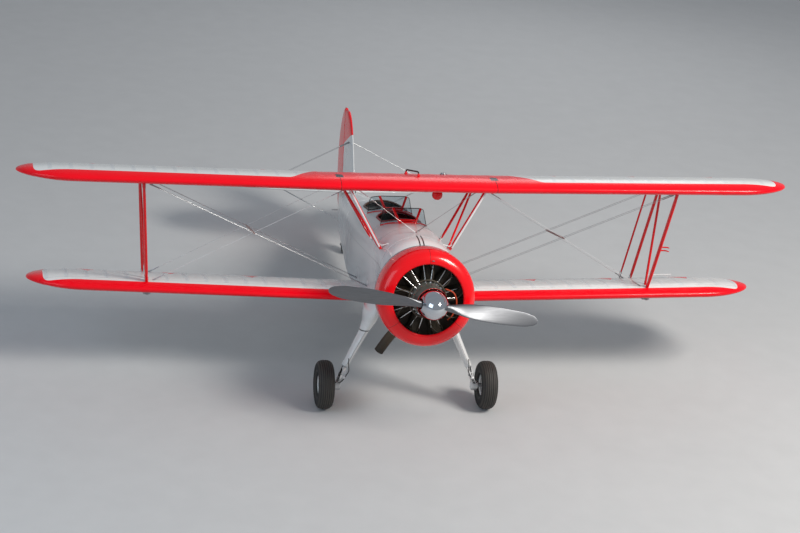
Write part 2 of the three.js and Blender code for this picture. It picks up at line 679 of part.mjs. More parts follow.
const rudderPin = (z) => vec(0, RUDDER.hingeY, z);
function rudder() {
  // columns: height, trailing edge
  const rows = [
    [RUDDER.low, 7205], [40, 7385], [200, 7490], [420, 7548], [700, 7559], [950, 7530], [1180, 7452],
    [1370, 7330], [1500, 7190], [1560, 7070],
  ];
  const ring = (z, tail) =>
    flapRing(RUDDER_SHAPE, RUDDER.hingeY, tail, RUDDER.nose - 1).map(([x, y]) => vec(x, y, z));
  const blade = loft(rows.map(([z, tail]) => ring(z, tail)));
  return join(blade, rod(rudderPin(RUDDER.low), rudderPin(RUDDER.top), RUDDER.nose, 16));
}

// columns: span station, leading edge
const PLANE_ROWS = [[26.4, 6020], [700, 6110], [1250, 6230], [1560, 6370], [1740, 6530], [1815, 6680]];
const planeRing = (x, lead, aft, half) =>
  finRing(0, lead, aft, half).map((p) => vec(x, p.y, ELEVATOR.z + p.x));

function tailPlane() {
  const aft = ELEVATOR.hingeY - ELEVATOR.nose - TAIL_GAP;
  return cut(loft(PLANE_ROWS.map(([x, lead]) => planeRing(x, lead, aft, ELEVATOR.nose))), bodyGrown);
}

const elevatorAt = (x) => vec(x, ELEVATOR.hingeY, ELEVATOR.z);
function elevatorHalf() {
  // columns: span station, trailing edge
  const rows = [
    [ELEVATOR.root, 6960], [330, 7330], [900, 7350], [1350, 7310], [1620, 7210], [1770, 7060],
    [ELEVATOR.tip, 6920],
  ];
  const { hingeY, nose, z } = ELEVATOR;
  const section = (tail) => flapRing(ELEVATOR_SHAPE, hingeY, tail, nose - 1);
  const ring = (x, tail) => section(tail).map(([up, y]) => vec(x, y, z + up));
  const made = loft(rows.map(([x, tail]) => ring(x, tail)));
  return join(made, rod(elevatorAt(ELEVATOR.root), elevatorAt(ELEVATOR.tip), nose, 16));
}

// Wind shields: three flat panes in a bar frame, standing on the deck
const SHIELD = { ahead: 585, pane: 6, bar: 9, sill: 0.25 };
function windshield(y) {
  const corner = {
    midLow: vec(95, y, deckHeight(95, y) - 40),
    midTop: vec(178, y + 95, 852),
    backLow: vec(300, y + 245, deckHeight(300, y + 245) - 60),
    backTop: vec(262, y + 300, 800),
  };
  const flip = (p) => vec(-p.x, p.y, p.z);
  const pane = ([a, b, c, d]) => {
    const normal = b.clone().sub(a).cross(d.clone().sub(a)).normalize().multiplyScalar(SHIELD.pane / 2);
    const face = (s) => [a, b, c, d].map((p) => p.clone().addScaledVector(normal, s));
    return loft([face(1), face(-1)]);
  };
  const middle = pane([corner.midLow, flip(corner.midLow), flip(corner.midTop), corner.midTop]);
  const seam = rod(corner.midLow, corner.midTop, 3.4, 8);
  const side = join(pane([corner.midLow, corner.midTop, corner.backTop, corner.backLow]), seam);
  const glass = cut(join(middle, side, mirrored(side)), bodyGrown);
  const bar = (a, b) => rod(a, b, SHIELD.bar, 4);
  const [front, over, behind] = [vec(0, -12.5, 2), vec(9, -6, 8), vec(11, -5, 0)]; // from glass to each bar
  const put = (p, off) => p.clone().add(off);
  const portHalf = join(
    bar(put(corner.midLow, front), put(corner.midTop, front)),
    bar(put(corner.midTop, over), put(corner.backTop, over)),
    bar(put(corner.backTop, behind), put(corner.backLow, behind)),
    bar(put(corner.midTop, front), put(corner.midTop, over)),
    bar(put(corner.backTop, over), put(corner.backTop, behind)),
  );
  const sill = corner.midLow.clone().lerp(corner.midTop, SHIELD.sill);
  const across = [corner.midTop, sill].map((p) => bar(put(flip(p), front), put(p, front)));
  const frame = cut(join(portHalf, mirrored(portHalf), ...across), bodyGrown, glass);
  return { glass, frame };
}

// A bucket seat: pan, back and low sides on two feet
const SEAT = { half: 205, pan: -185, sheet: 30, side: 18, sideTop: -60, backTop: 330, back: 32 };
const SEAT_FOOT = { x: 120, wide: 30, half: 120 };
function seat(y) {
  const { half, pan, sheet, side, sideTop, backTop, back } = SEAT;
  const [front, rear] = [y - 190, y + 190];
  const foot = block(
    [SEAT_FOOT.x, y - SEAT_FOOT.half, FLOOR_Z + GAP],
    [SEAT_FOOT.x + SEAT_FOOT.wide, y + SEAT_FOOT.half, pan - sheet / 2],
  );
  const wall = block([half - side, front, pan], [half, rear + 10, sideTop]);
  return join(
    block([-half, front, pan - sheet], [half, rear + 25, pan]),
    block([-half, rear, pan], [half, rear + back, backTop]),
    ...[foot, wall].flatMap((piece) => [piece, mirrored(piece)]),
  );
}

// The cockpit floor on its beam, with a stick for each seat
const FLOOR = { half: 330, from: 1900, to: 3880, thick: 14 };
const STICKS = [2350, 3280];
function cockpitFloor() {
  const board = block([-FLOOR.half, FLOOR.from, FLOOR_Z - FLOOR.thick], [FLOOR.half, FLOOR.to, FLOOR_Z]);
  const sticks = STICKS.map((y) =>
    join(
      rod(vec(0, y, FLOOR_Z - 5), vec(0, y + 40, 60), 13, 8),
      rod(vec(0, y + 38, 40), vec(0, y + 50, 170), 19, 8),
    ),
  );
  const beam = block([-180, 2000, BELLY_Z - 160], [180, 3860, FLOOR_Z - 10]);
  const inside = bodyLoft(-SKIN - GAP);
  return join(cut(board, cut(bodyOuter, inside)), ...sticks, beam.intersect(inside));
}

// Everything together
const model = new THREE.Group();
function add(name, made, material) {
  const mesh = new THREE.Mesh(geometryOf(made), material);
  mesh.name = name;
  model.add(mesh);
}
const sides = [["left", (s) => s], ["right", mirrored]];

// Body, with room for the tail pipe through the nose
const panels = bodyPanels();
const pipeRoom = join(
  ...PIPE_BENDS.slice(1).map((bend, i) => rod(PIPE_BENDS[i], bend, PIPE.room, 10)),
  ...PIPE_BENDS.slice(1, -1).map((bend) => ball(bend, PIPE.kneeRoom)),
);
panels.nose_cowling = cut(panels.nose_cowling, pipeRoom);

// Wings
const upper = panelWithAileron(upperWing, CENTRE_HALF + GAP);
const lower = panelWithAileron(lowerWing, LOWER_START);
const padTop = insideWing(lowerWing, STRUT_X.lower, FRONT_SPAR / CHORD);
function tiePad(grow) {
  const { x, y, z } = padTop.point;
  const half = TIE_PAD.half + grow;
  return block([x - half, y - half, z - padTop.half - TIE_PAD.depth - grow], [x + half, y + half, z]);
}
const lowerFixed = join(cut(lower.fixed, bodyGrown), tiePad(0));
const centreLoft = loft([
  wingRing(centreWing, -CENTRE_HALF, 0, 0),
  wingRing(centreWing, CENTRE_HALF, 0, 0),
]);
const cutY = UPPER.leadY + CHORD + TRAIL_CUT.back;
const trailCut = rod(vec(0, cutY, 0), vec(0, cutY, FAR), TRAIL_CUT.radius, TRAIL_CUT.sides);
const centreSection = cut(centreLoft, trailCut);
const upperGrown = join(
  wingBody(upperWing, CENTRE_HALF, GAP),
  loft([wingRing(centreWing, -CENTRE_HALF, 0, GAP), wingRing(centreWing, CENTRE_HALF + 1, 0, GAP)]),
);
const lowerGrown = wingBody(lowerWing, LOWER_START, GAP).add(tiePad(1));

// Three struts of one side: front, rear, and a diagonal from low at the front to high at the rear.
// columns of sizes: width, thickness
function strutSet({ feet, heads, sizes, shift, clear, solids }) {
  const trim = (s) => cut(s, ...solids);
  const bar = (a, b, [wide, thick], grow = 0) => faired(a, b, wide + 2 * grow, thick + grow);
  const low = feet[0].clone().add(vec(0, shift[0], 0));
  const high = heads[1].clone().add(vec(0, shift[1], 0));
  const room = [0, 1].map((i) => bar(feet[i], heads[i], sizes[i], clear));
  return {
    front: trim(bar(feet[0], heads[0], sizes[0])),
    rear: trim(bar(feet[1], heads[1], sizes[1])),
    diagonal: cut(trim(bar(low, high, sizes[2])), ...room),
  };
}

const sparPoint = (wing, x, spar) => insideWing(wing, x, spar / CHORD).point;
const SPARS = [FRONT_SPAR, REAR_SPAR];
const interplane = strutSet({
  feet: SPARS.map((spar) => sparPoint(lowerWing, STRUT_X.lower, spar)),
  heads: SPARS.map((spar) => sparPoint(upperWing, STRUT_X.upper, spar)),
  sizes: [[96, 38], [84, 34], [62, 30]],
  shift: [62, -58],
  clear: 1,
  solids: [upperGrown, lowerGrown],
});
const cabane = strutSet({
  feet: [vec(400, 1492, 380), vec(404, 2094, 385)],
  heads: SPARS.map((spar) => sparPoint(centreWing, STRUT_X.cabane, spar)),
  sizes: [[84, 34], [72, 30], [50, 26]],
  shift: [50, -50],
  clear: 1,
  solids: [upperGrown, bodyGrown],
});

// Main stays of one side, tied together by the rod where they cross
const STAY = { radius: 5.5, lowX: 440, highX: 940, inboard: 75, sunk: 6, lift: 36, rod: 13, overhang: 90 };
function stays() {
  const spot = (wing, x, spar, up) => {
    const { point, half } = insideWing(wing, x, spar / CHORD);
    return point.clone().add(vec(0, 0, up * (half - STAY.sunk)));
  };
  const wire = (a, b) => rod(a, b, STAY.radius, 6);
  const made = [];
  const crossings = [];
  for (const spar of SPARS) {
    const flyLow = spot(lowerWing, STAY.lowX, spar, 1).add(vec(0, 0, STAY.lift));
    const flyHigh = spot(upperWing, STRUT_X.upper - STAY.inboard, spar, -1);
    const landHigh = spot(centreWing, STAY.highX, spar, -1);
    const landLow = spot(lowerWing, STRUT_X.lower - STAY.inboard, spar, 1);
    made.push(wire(flyLow, flyHigh), wire(landHigh, landLow));
    crossings.push(crossing(flyLow, flyHigh, landHigh, landLow));
  }
  const ends = [-STAY.overhang, STAY.overhang].map((past, i) => crossings[i].clone().add(vec(0, past, 0)));
  return cut(join(...made, rod(...ends, STAY.rod, 8)), upperGrown, lowerGrown, bodyGrown);
}

// Where two wires pass each other, seen from the front: the middle between them.
function crossing(a, b, c, d) {
  const ab = b.clone().sub(a);
  const cd = d.clone().sub(c);
  const t = ((c.x - a.x) * cd.z - (c.z - a.z) * cd.x) / (ab.x * cd.z - ab.z * cd.x);
  const s = ((c.x - a.x) * ab.z - (c.z - a.z) * ab.x) / (ab.x * cd.z - ab.z * cd.x);
  return a.clone().addScaledVector(ab, t).add(c.clone().addScaledVector(cd, s)).multiplyScalar(0.5);
}

// The strut that ties the upper aileron to the lower one, on a lug at each end. It lies parallel to the line
// between the two hinges, so that its upper eye hardly leaves its pin as both ailerons swing together.
const LINK = { x: 3225, upperX: 3352, aft: 70, lug: 33, pin: 5, drift: 5.5, wide: 46, thick: 30 };
const EYE = { plate: 5, half: 18, radius: 16, slot: 7.5 };
function aileronLink() {
  const lowHinge = insideWing(lowerWing, LINK.x, AILERON.hinge).point;
  const highHinge = insideWing(upperWing, LINK.upperX, AILERON.hinge).point;
  const low = insideWing(lowerWing, LINK.x, AILERON.hinge + LINK.aft / CHORD);
  const lowEye = low.point.clone().add(vec(0, 0, low.half + LINK.lug));
  const span = highHinge.clone().sub(lowHinge);
  const arms = (2 * (low.half + LINK.lug)) / span.z;
  const highEye = lowEye.clone().addScaledVector(span, 1 - arms);
  const high = insideWing(upperWing, LINK.upperX, (highEye.y - UPPER.leadY) / CHORD);
  return { low, high, lowEye, highEye };
}
const link = aileronLink();
const acrossEye = (eye, half, r, sides) =>
  rod(eye.clone().add(vec(-half, 0, 0)), eye.clone().add(vec(half, 0, 0)), r, sides);

function eyePlate(eye, root) {
  const ends = [eye.z, root.z].sort((a, b) => a - b);
  return join(
    acrossEye(eye, EYE.plate, EYE.radius, 10),
    block([eye.x - EYE.plate, eye.y - 14, ends[0]], [eye.x + EYE.plate, eye.y + 14, ends[1]]),
    acrossEye(eye, EYE.half, LINK.pin, 6),
  );
}

function linkStrut() {
  const { lowEye, highEye } = link;
  const along = highEye.clone().sub(lowEye).normalize();
  const slot = (eye, dir) => {
    const far = eye.clone().addScaledVector(along, dir * 46);
    return block(
      [Math.min(eye.x, far.x) - EYE.slot, eye.y - 40, Math.min(eye.z - 28 * dir, far.z)],
      [Math.max(eye.x, far.x) + EYE.slot, eye.y + 40, Math.max(eye.z - 28 * dir, far.z)],
    );
  };
  const head = highEye.clone().addScaledVector(along, LINK.drift);
  const bar = faired(lowEye, head, LINK.wide, LINK.thick);
  const half = LINK.thick / 2 + 1;
  const whole = join(bar, acrossEye(lowEye, half, EYE.radius, 8), acrossEye(head, half, EYE.radius + 1, 10));
  const lowBore = acrossEye(lowEye, 30, (LINK.pin + 0.4) / Math.cos(Math.PI / 12), 12);
  const highBore = acrossEye(head, 30, LINK.pin + LINK.drift + 1.5, 10);
  return cut(whole, slot(lowEye, 1), slot(highEye, -1), lowBore, highBore);
}

const lowerAileron = join(lower.moving, eyePlate(link.lowEye, link.low.point));
const upperAileron = join(upper.moving, eyePlate(link.highEye, link.high.point));

// Tail hinges: heights on the fin and the body, stations on each plane, and how far a lug reaches forward
const TAIL_HINGES = { fin: [560, 1300], body: [120], plane: [420, 1500] };
const LUG_REACH = { fin: 46, body: 60, plane: 48 };
let finBody = fin();
let rudderBody = rudder();
let rearBody = panels.rear_body;
const onRudder = (carrier, z, reach) =>
  hinge(carrier, rudderBody, rudderPin(z), vec(0, 0, 1), reach, RUDDER.nose);
for (const z of TAIL_HINGES.fin) [finBody, rudderBody] = onRudder(finBody, z, LUG_REACH.fin);
for (const z of TAIL_HINGES.body) [rearBody, rudderBody] = onRudder(rearBody, z, LUG_REACH.body);

// The elevator's torque tube passes between fin and body.
const passHalf = 400;
const noseRoom = ELEVATOR.nose + TAIL_GAP;
finBody = cut(
  finBody,
  rod(elevatorAt(-passHalf), elevatorAt(passHalf), noseRoom, 20),
  block([-passHalf, ELEVATOR.hingeY - noseRoom, 0], [passHalf, FAR, ELEVATOR.z]),
);
let leftPlane = tailPlane();
let leftHalf = elevatorHalf();
for (const x of TAIL_HINGES.plane) {
  const { plane } = LUG_REACH;
  [leftPlane, leftHalf] = hinge(leftPlane, leftHalf, elevatorAt(x), vec(1, 0, 0), plane, ELEVATOR.nose);
}
const torqueTube = rod(elevatorAt(-90), elevatorAt(90), ELEVATOR.nose - 2, 16);
const elevatorBody = join(leftHalf, mirrored(leftHalf), torqueTube);
const tailBrace = cut(
  faired(vec(90, 6420, -60), vec(1080, 6480, ELEVATOR.z), 52, 22),
  bodyGrown,
  loft([[40, 6020], [700, 6110], [1250, 6230]].map(([x, lead]) =>
    planeRing(x, lead, ELEVATOR.hingeY - 30, ELEVATOR.nose + GAP),
  )),
);

// The parked attitude: both main wheels and the tail wheel touch the floor with a flat of their tyres
const flat = (r) => r * Math.cos(Math.PI / WHEEL_SIDES);
const reach = [TAIL_WHEEL.y - WHEEL.y, TAIL_WHEEL.z - WHEEL.z, flat(WHEEL.radius) - flat(TAIL_WHEEL.radius)];
const LEAN = Math.atan2(reach[1], reach[0]) + Math.asin(reach[2] / Math.hypot(reach[0], reach[1]));
const faceDown = (turnedWheel) =>
  turnedWheel.rotate([180 / WHEEL_SIDES + THREE.MathUtils.radToDeg(LEAN), 0, 0]);
const SWIVEL = vec(0, -Math.sin(LEAN), Math.cos(LEAN));

// Tail wheel: a steered fork on an upright pin under the tail; heights go up the pin from the axle
const FORK = { trail: 62, top: 205, headR: 38, pinR: 14, boreR: 15, armX: 52, axleR: 12 };
const POST = { radius: 40, topRadius: 62 };
const swivelAt = (up) => vec(0, TAIL_WHEEL.y - FORK.trail, TAIL_WHEEL.z).addScaledVector(SWIVEL, up);
rearBody = join(
  rearBody,
  rod(swivelAt(FORK.top + 12), swivelAt(FORK.top + 190), POST.radius, 14, POST.topRadius),
  rod(swivelAt(FORK.top - 36), swivelAt(FORK.top + 30), FORK.pinR, 12),
);
function tailFork() {
  const { top, headR, boreR, armX, axleR } = FORK;
  const axle = vec(0, TAIL_WHEEL.y, TAIL_WHEEL.z);
  const crown = swivelAt(top - 40);
  const beside = (at, x) => at.clone().add(vec(x, 0, 0));
  const head = rod(swivelAt(top - 60), swivelAt(top + 11.6), headR, 14);
  const bridge = faired(beside(crown, -armX - 6), beside(crown, armX + 6), 60, 30);
  const arms = [-armX, armX].map((x) => faired(beside(crown, x), beside(axle, x), 46, 12));
  const pin = rod(beside(axle, -armX - 14), beside(axle, armX + 14), axleR, 12);
  const bore = rod(swivelAt(top - 38), swivelAt(top + 20), boreR, 12);
  return cut(join(head, bridge, ...arms, pin), bore);
}

add("nose_cowling", panels.nose_cowling, WHITE);
add("top_deck", panels.top_deck, WHITE);
add("side_panel_left", panels.side_panel_left, WHITE);
add("side_panel_right", panels.side_panel_right, WHITE);
add("belly_panel", panels.belly_panel, WHITE);
add("rear_body", rearBody, WHITE);
add("cockpit_floor", cockpitFloor(), DARK);
for (const [name, { y }] of Object.entries(COCKPITS)) {
  const { glass, frame } = windshield(y - SHIELD.ahead);
  add("windshield_glass_" + name, glass, GLASS);
  add("windshield_frame_" + name, frame, RED);
  add("seat_" + name, seat(y + 30), LEATHER);
}
add("engine_cowl", cowlRing(), RED);
add("engine", engine(), DARK);
add("exhaust", exhaust(), SOOT);
add("propeller", propeller(), ALLOY);
add("spinner", spinner(), CHROME);
add("wing_centre_section", centreSection, WHITE);
for (const [side, turnTo] of sides) {
  add("upper_wing_" + side, turnTo(upper.fixed), WHITE);
  add("lower_wing_" + side, turnTo(lowerFixed), WHITE);
  add("upper_aileron_" + side, turnTo(upperAileron), WHITE);
  add("lower_aileron_" + side, turnTo(lowerAileron), WHITE);
  add("aileron_link_" + side, turnTo(linkStrut()), RED);
  for (const [set, struts] of [["wing", interplane], ["cabane", cabane]])
    for (const [place, bar] of Object.entries(struts)) add(`${set}_strut_${place}_${side}`, turnTo(bar), RED);
  add("wing_stays_" + side, turnTo(stays()), STEEL);
  add("gear_leg_" + side, turnTo(gearLeg()), WHITE);
  add("gear_piston_" + side, turnTo(gearPiston()), CHROME);
  const wheelAt = (s) => turnTo(faceDown(s).translate([WHEEL.x, WHEEL.y, WHEEL.z]));
  const boreR = (AXLE_R + GAP) / Math.cos(Math.PI / RIM_SIDES);
  add("tyre_" + side, wheelAt(tyre(WHEEL.radius, WHEEL.width, WHEEL.rim, WHEEL_SIDES)), RUBBER);
  const rimR = WHEEL.rim * Math.cos(Math.PI / WHEEL_SIDES);
  add("wheel_" + side, wheelAt(rimDisc(rimR, WHEEL.width, boreR, RIM_SIDES)), WHITE);
  add("tail_plane_" + side, turnTo(leftPlane), WHITE);
  add("tail_brace_" + side, turnTo(tailBrace), RED);
}
add("fin", finBody, WHITE);
add("rudder", rudderBody, RED);
add("elevator", elevatorBody, WHITE);
add("tail_wheel_fork", tailFork(), STEEL);
const tailWheel = faceDown(solidTyre(TAIL_WHEEL.radius, TAIL_WHEEL.width, FORK.axleR + 0.6, WHEEL_SIDES));
add("tail_wheel", tailWheel.translate([0, TAIL_WHEEL.y, TAIL_WHEEL.z]), RUBBER);

// Lean back onto the wheels, with the floor at zero and the origin under the middle of the whole aircraft
model.rotation.x = -LEAN;
model.updateMatrixWorld(true);
const contact = vec(WHEEL.x, WHEEL.y, WHEEL.z).applyMatrix4(model.matrixWorld);
const extent = new THREE.Box3().setFromObject(model, true);
model.position.set(0, -(extent.min.y + extent.max.y) / 2, flat(WHEEL.radius) - contact.z);

export default model;
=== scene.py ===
# A full-size two-seat biplane with a nine-cylinder radial engine, parked on its wheels.
import json
import math
import bmesh
import bpy
import numpy as np
from mathutils import Matrix, Vector


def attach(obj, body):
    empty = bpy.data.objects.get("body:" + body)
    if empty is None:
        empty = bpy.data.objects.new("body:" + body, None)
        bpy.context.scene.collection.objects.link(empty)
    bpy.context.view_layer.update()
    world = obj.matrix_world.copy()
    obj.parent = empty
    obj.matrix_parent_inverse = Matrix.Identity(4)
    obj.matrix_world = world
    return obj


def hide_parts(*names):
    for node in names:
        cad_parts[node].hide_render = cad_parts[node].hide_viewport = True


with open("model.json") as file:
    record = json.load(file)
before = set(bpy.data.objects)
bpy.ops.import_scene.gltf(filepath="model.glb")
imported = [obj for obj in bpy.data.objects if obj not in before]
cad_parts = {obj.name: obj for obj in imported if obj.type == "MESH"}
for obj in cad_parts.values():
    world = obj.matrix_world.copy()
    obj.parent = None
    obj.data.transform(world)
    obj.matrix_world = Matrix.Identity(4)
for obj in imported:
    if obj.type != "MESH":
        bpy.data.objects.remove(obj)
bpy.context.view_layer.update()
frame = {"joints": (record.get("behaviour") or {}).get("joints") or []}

# Attitude and camera. The aircraft is drawn level, in metres: X to port, Y aft from the spinner's tip, Z up
# from the thrust line. It stands leaned back on its tail wheel, as the propeller's axis shows, and is seen
# from ahead, above and a little to starboard, with a long lens.
thrust = next(j for j in frame["joints"] if j["name"] == "propeller_spin")
TIP = np.array(thrust["pos_m"])
AFT = np.array(thrust["axis"]) * np.sign(thrust["axis"][1])
PORT = np.array([1.0, 0.0, 0.0])
LEVEL_AXES = np.array([PORT, AFT, np.cross(PORT, AFT)])
LEAN = math.atan2(-AFT[2], AFT[1])
EYE = (-5.297, -23.909, 5.097)
YAW, PITCH, ROLL = (math.radians(a) for a in (11.39, -10.649, 2.93))
LENS, SENSOR, SEEN_TO = 95.35, 36.0, 400.0


def parked(points):
    """Points of the level aircraft where it stands: the tip, plus each coordinate along its own axis."""
    return TIP + np.asarray(points, float) @ LEVEL_AXES


ahead = np.array([math.sin(YAW) * math.cos(PITCH), math.cos(YAW) * math.cos(PITCH), math.sin(PITCH)])
across = np.array([math.cos(YAW), -math.sin(YAW), 0.0])
over = np.cross(across, ahead)
right = math.cos(ROLL) * across + math.sin(ROLL) * over
turned_axes = np.array([right, np.cross(right, ahead), -ahead]) @ LEVEL_AXES
camera = bpy.data.objects.new("camera", bpy.data.cameras.new("camera"))
camera.data.lens, camera.data.sensor_width = LENS, SENSOR
camera.data.clip_end = SEEN_TO
camera.matrix_world = Matrix.Translation(parked(EYE)) @ Matrix(turned_axes.T.tolist()).to_4x4()
bpy.context.scene.collection.objects.link(camera)
bpy.context.scene.camera = camera


# Floor and light. A plain pale floor, flat and far wider than the picture, one large soft lamp above on the
# port side, a weaker one to starboard, a third behind, and a pale sky.
def tint(red, green, blue):
    """A colour given as on screen, 0 to 255, as the shader's linear one: ((c + 0.055) / 1.055) ** 2.4."""
    return (*(((c / 255 + 0.055) / 1.055) ** 2.4 for c in (red, green, blue)), 1.0)


class Flow:
    """A socket's value in a finish. Arithmetic on it adds Math nodes."""

    def __init__(self, finish, socket):
        self.finish, self.socket = finish, socket

    def by(self, operation, *others):
        """The Math node's operation on this value and the others."""
        return self.finish.node("Math", {"operation": operation}, self, *others)

    def __add__(self, other):
        return self.by("ADD", other)

    def __sub__(self, other):
        return self.by("SUBTRACT", other)

    def __rsub__(self, other):
        return self.finish.node("Math", {"operation": "SUBTRACT"}, other, self)

    def __mul__(self, other):
        return self.by("MULTIPLY", other)

    def __truediv__(self, other):
        return self.by("DIVIDE", other)

    def __abs__(self):
        return self.by("ABSOLUTE")

    __radd__, __rmul__ = __add__, __mul__


class Finish:
    """One material. node() adds any node; set() gives values or flows to its shader's sockets."""

    def __init__(self, name, **sockets):
        self.material = bpy.data.materials.new(name)
        self.material.use_nodes = True
        self.tree = self.material.node_tree
        self.shader = self.tree.nodes["Principled BSDF"]
        self.set(**sockets)

    def node(self, kind, settings, *values, out=0, **named):
        """Adds a node with its settings, then its sockets in order or by name. Gives the out-th output."""
        made = self.tree.nodes.new("ShaderNode" + kind)
        for key, value in settings.items():
            setattr(made, key, value)
        sockets = [s for s in made.inputs if s.enabled]
        by_name = {s.name.replace(" ", "_"): s for s in sockets}
        named_values = [(by_name[key], value) for key, value in named.items()]
        for socket, value in [*zip(sockets, values), *named_values]:
            self.feed(socket, value)
        return Flow(self, [s for s in made.outputs if s.enabled][out])

    def feed(self, socket, value):
        """Links a flow to a socket, or sets the socket to a plain value."""
        if isinstance(value, Flow):
            self.tree.links.new(value.socket, socket)
        else:
            socket.default_value = value

    def set(self, **sockets):
        """Feeds the shader's sockets, named with _ for a space."""
        for key, value in sockets.items():
            self.feed(self.shader.inputs[key.replace("_", " ")], value)
        return self

    def place(self):
        """The point's place in the level aircraft, as a vector."""
        here = self.node("TexCoord", {}, out=3)
        return self.node("Mapping", {"vector_type": "TEXTURE"}, here, tuple(TIP), (-LEAN, 0, 0), (1, 1, 1))

    def level(self):
        """The point's X, Y and Z in the level aircraft."""
        place = self.place()
        return [self.node("SeparateXYZ", {}, place, out=i) for i in range(3)]

    def ease(self, value, low, high):
        """0 below low, 1 above high, and 3t² - 2t³ between them."""
        settings = {"interpolation_type": "SMOOTHSTEP"}
        return self.node("MapRange", settings, Value=value, From_Min=low, From_Max=high)

    def line(self, value, at, half):
        """1 on a line of that half width where the value is at, easing to 0 over as much again."""
        return 1 - self.ease(abs(value - at), half, 2 * half)

    def noise(self, scale, detail=3.0, stretch=(1, 1, 1)):
        """Fractal noise about 0 to 1 over the level aircraft, scale periods to a metre."""
        where = self.node("Mapping", {}, self.place(), (0, 0, 0), (0, 0, 0), stretch)
        return self.node("TexNoise", {}, Vector=where, Scale=scale, Detail=detail, Roughness=0.5)

    def mix(self, mask, a, b):
        """Colour a where the mask is 0, b where it is 1, and a blend of them between."""
        return self.node("Mix", {"data_type": "RGBA"}, mask, a, b)

    def bump(self, height, distance, strength=1.0):
        """Raises the surface in its shading by a height of 0 to 1 times a distance in metres."""
        raised = self.node("Bump", {}, Strength=strength, Distance=distance, Height=height)
        return self.set(Normal=raised)


def mottled(name, noise, light, dark, rough, more=None, rough_noise=(), **sockets):
    """A finish between two tints by noise of a scale and detail. rough is its roughness; where a second
    noise roughens it, that adds up to more.
    """
    made = Finish(name, Roughness=rough, **sockets)
    made.set(Base_Color=made.mix(made.noise(*noise), tint(*light), tint(*dark)))
    return made.set(Roughness=rough + made.noise(*rough_noise) * more) if more else made


FLOOR_HALF, FLOOR_ROWS = 60.0, 9
floor_line = np.linspace(-1, 1, FLOOR_ROWS)
floor_grid = np.stack(np.meshgrid(floor_line, floor_line), -1).reshape(-1, 2) * FLOOR_HALF
cells = np.arange(FLOOR_ROWS**2).reshape(FLOOR_ROWS, FLOOR_ROWS)
floor_faces = np.stack([cells[:-1, :-1], cells[:-1, 1:], cells[1:, 1:], cells[1:, :-1]], -1).reshape(-1, 4)
floor_mesh = bpy.data.meshes.new("floor")
floor_mesh.from_pydata([(x, y, 0.0) for x, y in floor_grid], [], floor_faces.tolist())
floor = bpy.data.objects.new("floor", floor_mesh)
bpy.context.scene.collection.objects.link(floor)
floor_finish = mottled("pale_floor", (3.0, 6.0), (190, 191, 192), (198, 199, 200), 0.75)
floor_mesh.materials.append(floor_finish.material)


def lamp(name, place, size, watts, colour):
    """A square area lamp in the row's frame, turned to a point a metre over its origin."""
    made = bpy.data.objects.new(name, bpy.data.lights.new(name, "AREA"))
    made.data.size, made.data.energy, made.data.color = size, watts, colour
    made.rotation_mode = "QUATERNION"
    made.rotation_quaternion = (Vector((0, 0, 1)) - Vector(place)).to_track_quat("-Z", "Y")
    made.location = place
    bpy.context.scene.collection.objects.link(made)


lamp("key_light", (11, -11, 15), 6.0, 3300, (1.0, 0.955, 0.89))
lamp("fill_light", (-13, -9, 8), 9.0, 520, (0.70, 0.85, 1.0))
lamp("back_light", (6, 15, 9), 8.0, 260, (1.0, 1.0, 1.0))
sky = bpy.data.worlds.new("sky")
sky.use_nodes = True
sky.node_tree.nodes["Background"].inputs["Color"].default_value = (0.82, 0.88, 0.96, 1)
sky.node_tree.nodes["Background"].inputs["Strength"].default_value = 0.36
bpy.context.scene.world = sky
bpy.context.scene.view_settings.view_transform = "Standard"


# Body. Formers and stringers under sheet metal at the nose and cabin and doped fabric aft of it, white all
# over, but for the flat front of the nose, which is painted near black as painted shade behind the engine;
# the deck has two cockpits cut in it, and every panel is painted inside in a dull grey green. The section at
# each station is a half ellipse on the shoulder line and another on the chine, flat between.
def net(points, around=True, ends=True, along=False):
    """A form (vertices, faces) over a grid of points, rows by columns.

    around closes each row on itself, along closes the last row on the first, and ends closes the first and
    last row with a fan to its middle point. A closed form whose volume is below 0 is turned inside out.
    """
    points = np.asarray(points, float)
    rows, columns = points.shape[:2]
    number = np.arange(rows * columns).reshape(rows, columns)
    near = np.concatenate([number, number[:, :1]], 1) if around else number
    near = np.concatenate([near, near[:1]], 0) if along else near
    quads = np.stack([near[:-1, :-1], near[:-1, 1:], near[1:, 1:], near[1:, :-1]], -1).reshape(-1, 4)
    places, fans = points.reshape(-1, 3), np.zeros((0, 3), int)
    if ends and not along:
        middles = rows * columns + np.arange(2)
        places = np.concatenate([places, points[[0, -1]].mean(1)])
        first = np.stack([near[0, 1:], near[0, :-1], np.full(near.shape[1] - 1, middles[0])], -1)
        last = np.stack([near[-1, :-1], near[-1, 1:], np.full(near.shape[1] - 1, middles[1])], -1)
        fans = np.concatenate([first, last])
    return outward((places, quads, fans))


def outward(form):
    """The form with its faces turned so that its signed volume, the sum of a·(b×c)/6, is above 0."""
    places, quads, fans = form
    faces = np.concatenate([quads[:, [0, 1, 2]], quads[:, [0, 2, 3]], fans])
    a, b, c = (places[faces[:, i]] for i in range(3))
    if np.einsum("ij,ij->", a - places[0], np.cross(b - places[0], c - places[0])) < 0:
        return places, quads[:, ::-1], fans[:, ::-1]
    return form


def flipped(form):
    """The form's mirror image on the other side of the aircraft."""
    places, quads, fans = form
    return places * (-1, 1, 1), quads[:, ::-1], fans[:, ::-1]


def joined(forms):
    """Several forms as one."""
    starts = np.cumsum([0] + [len(f[0]) for f in forms[:-1]])
    return tuple(
        np.concatenate([f[i] + (0 if i == 0 else s) for f, s in zip(forms, starts)]) for i in range(3)
    )


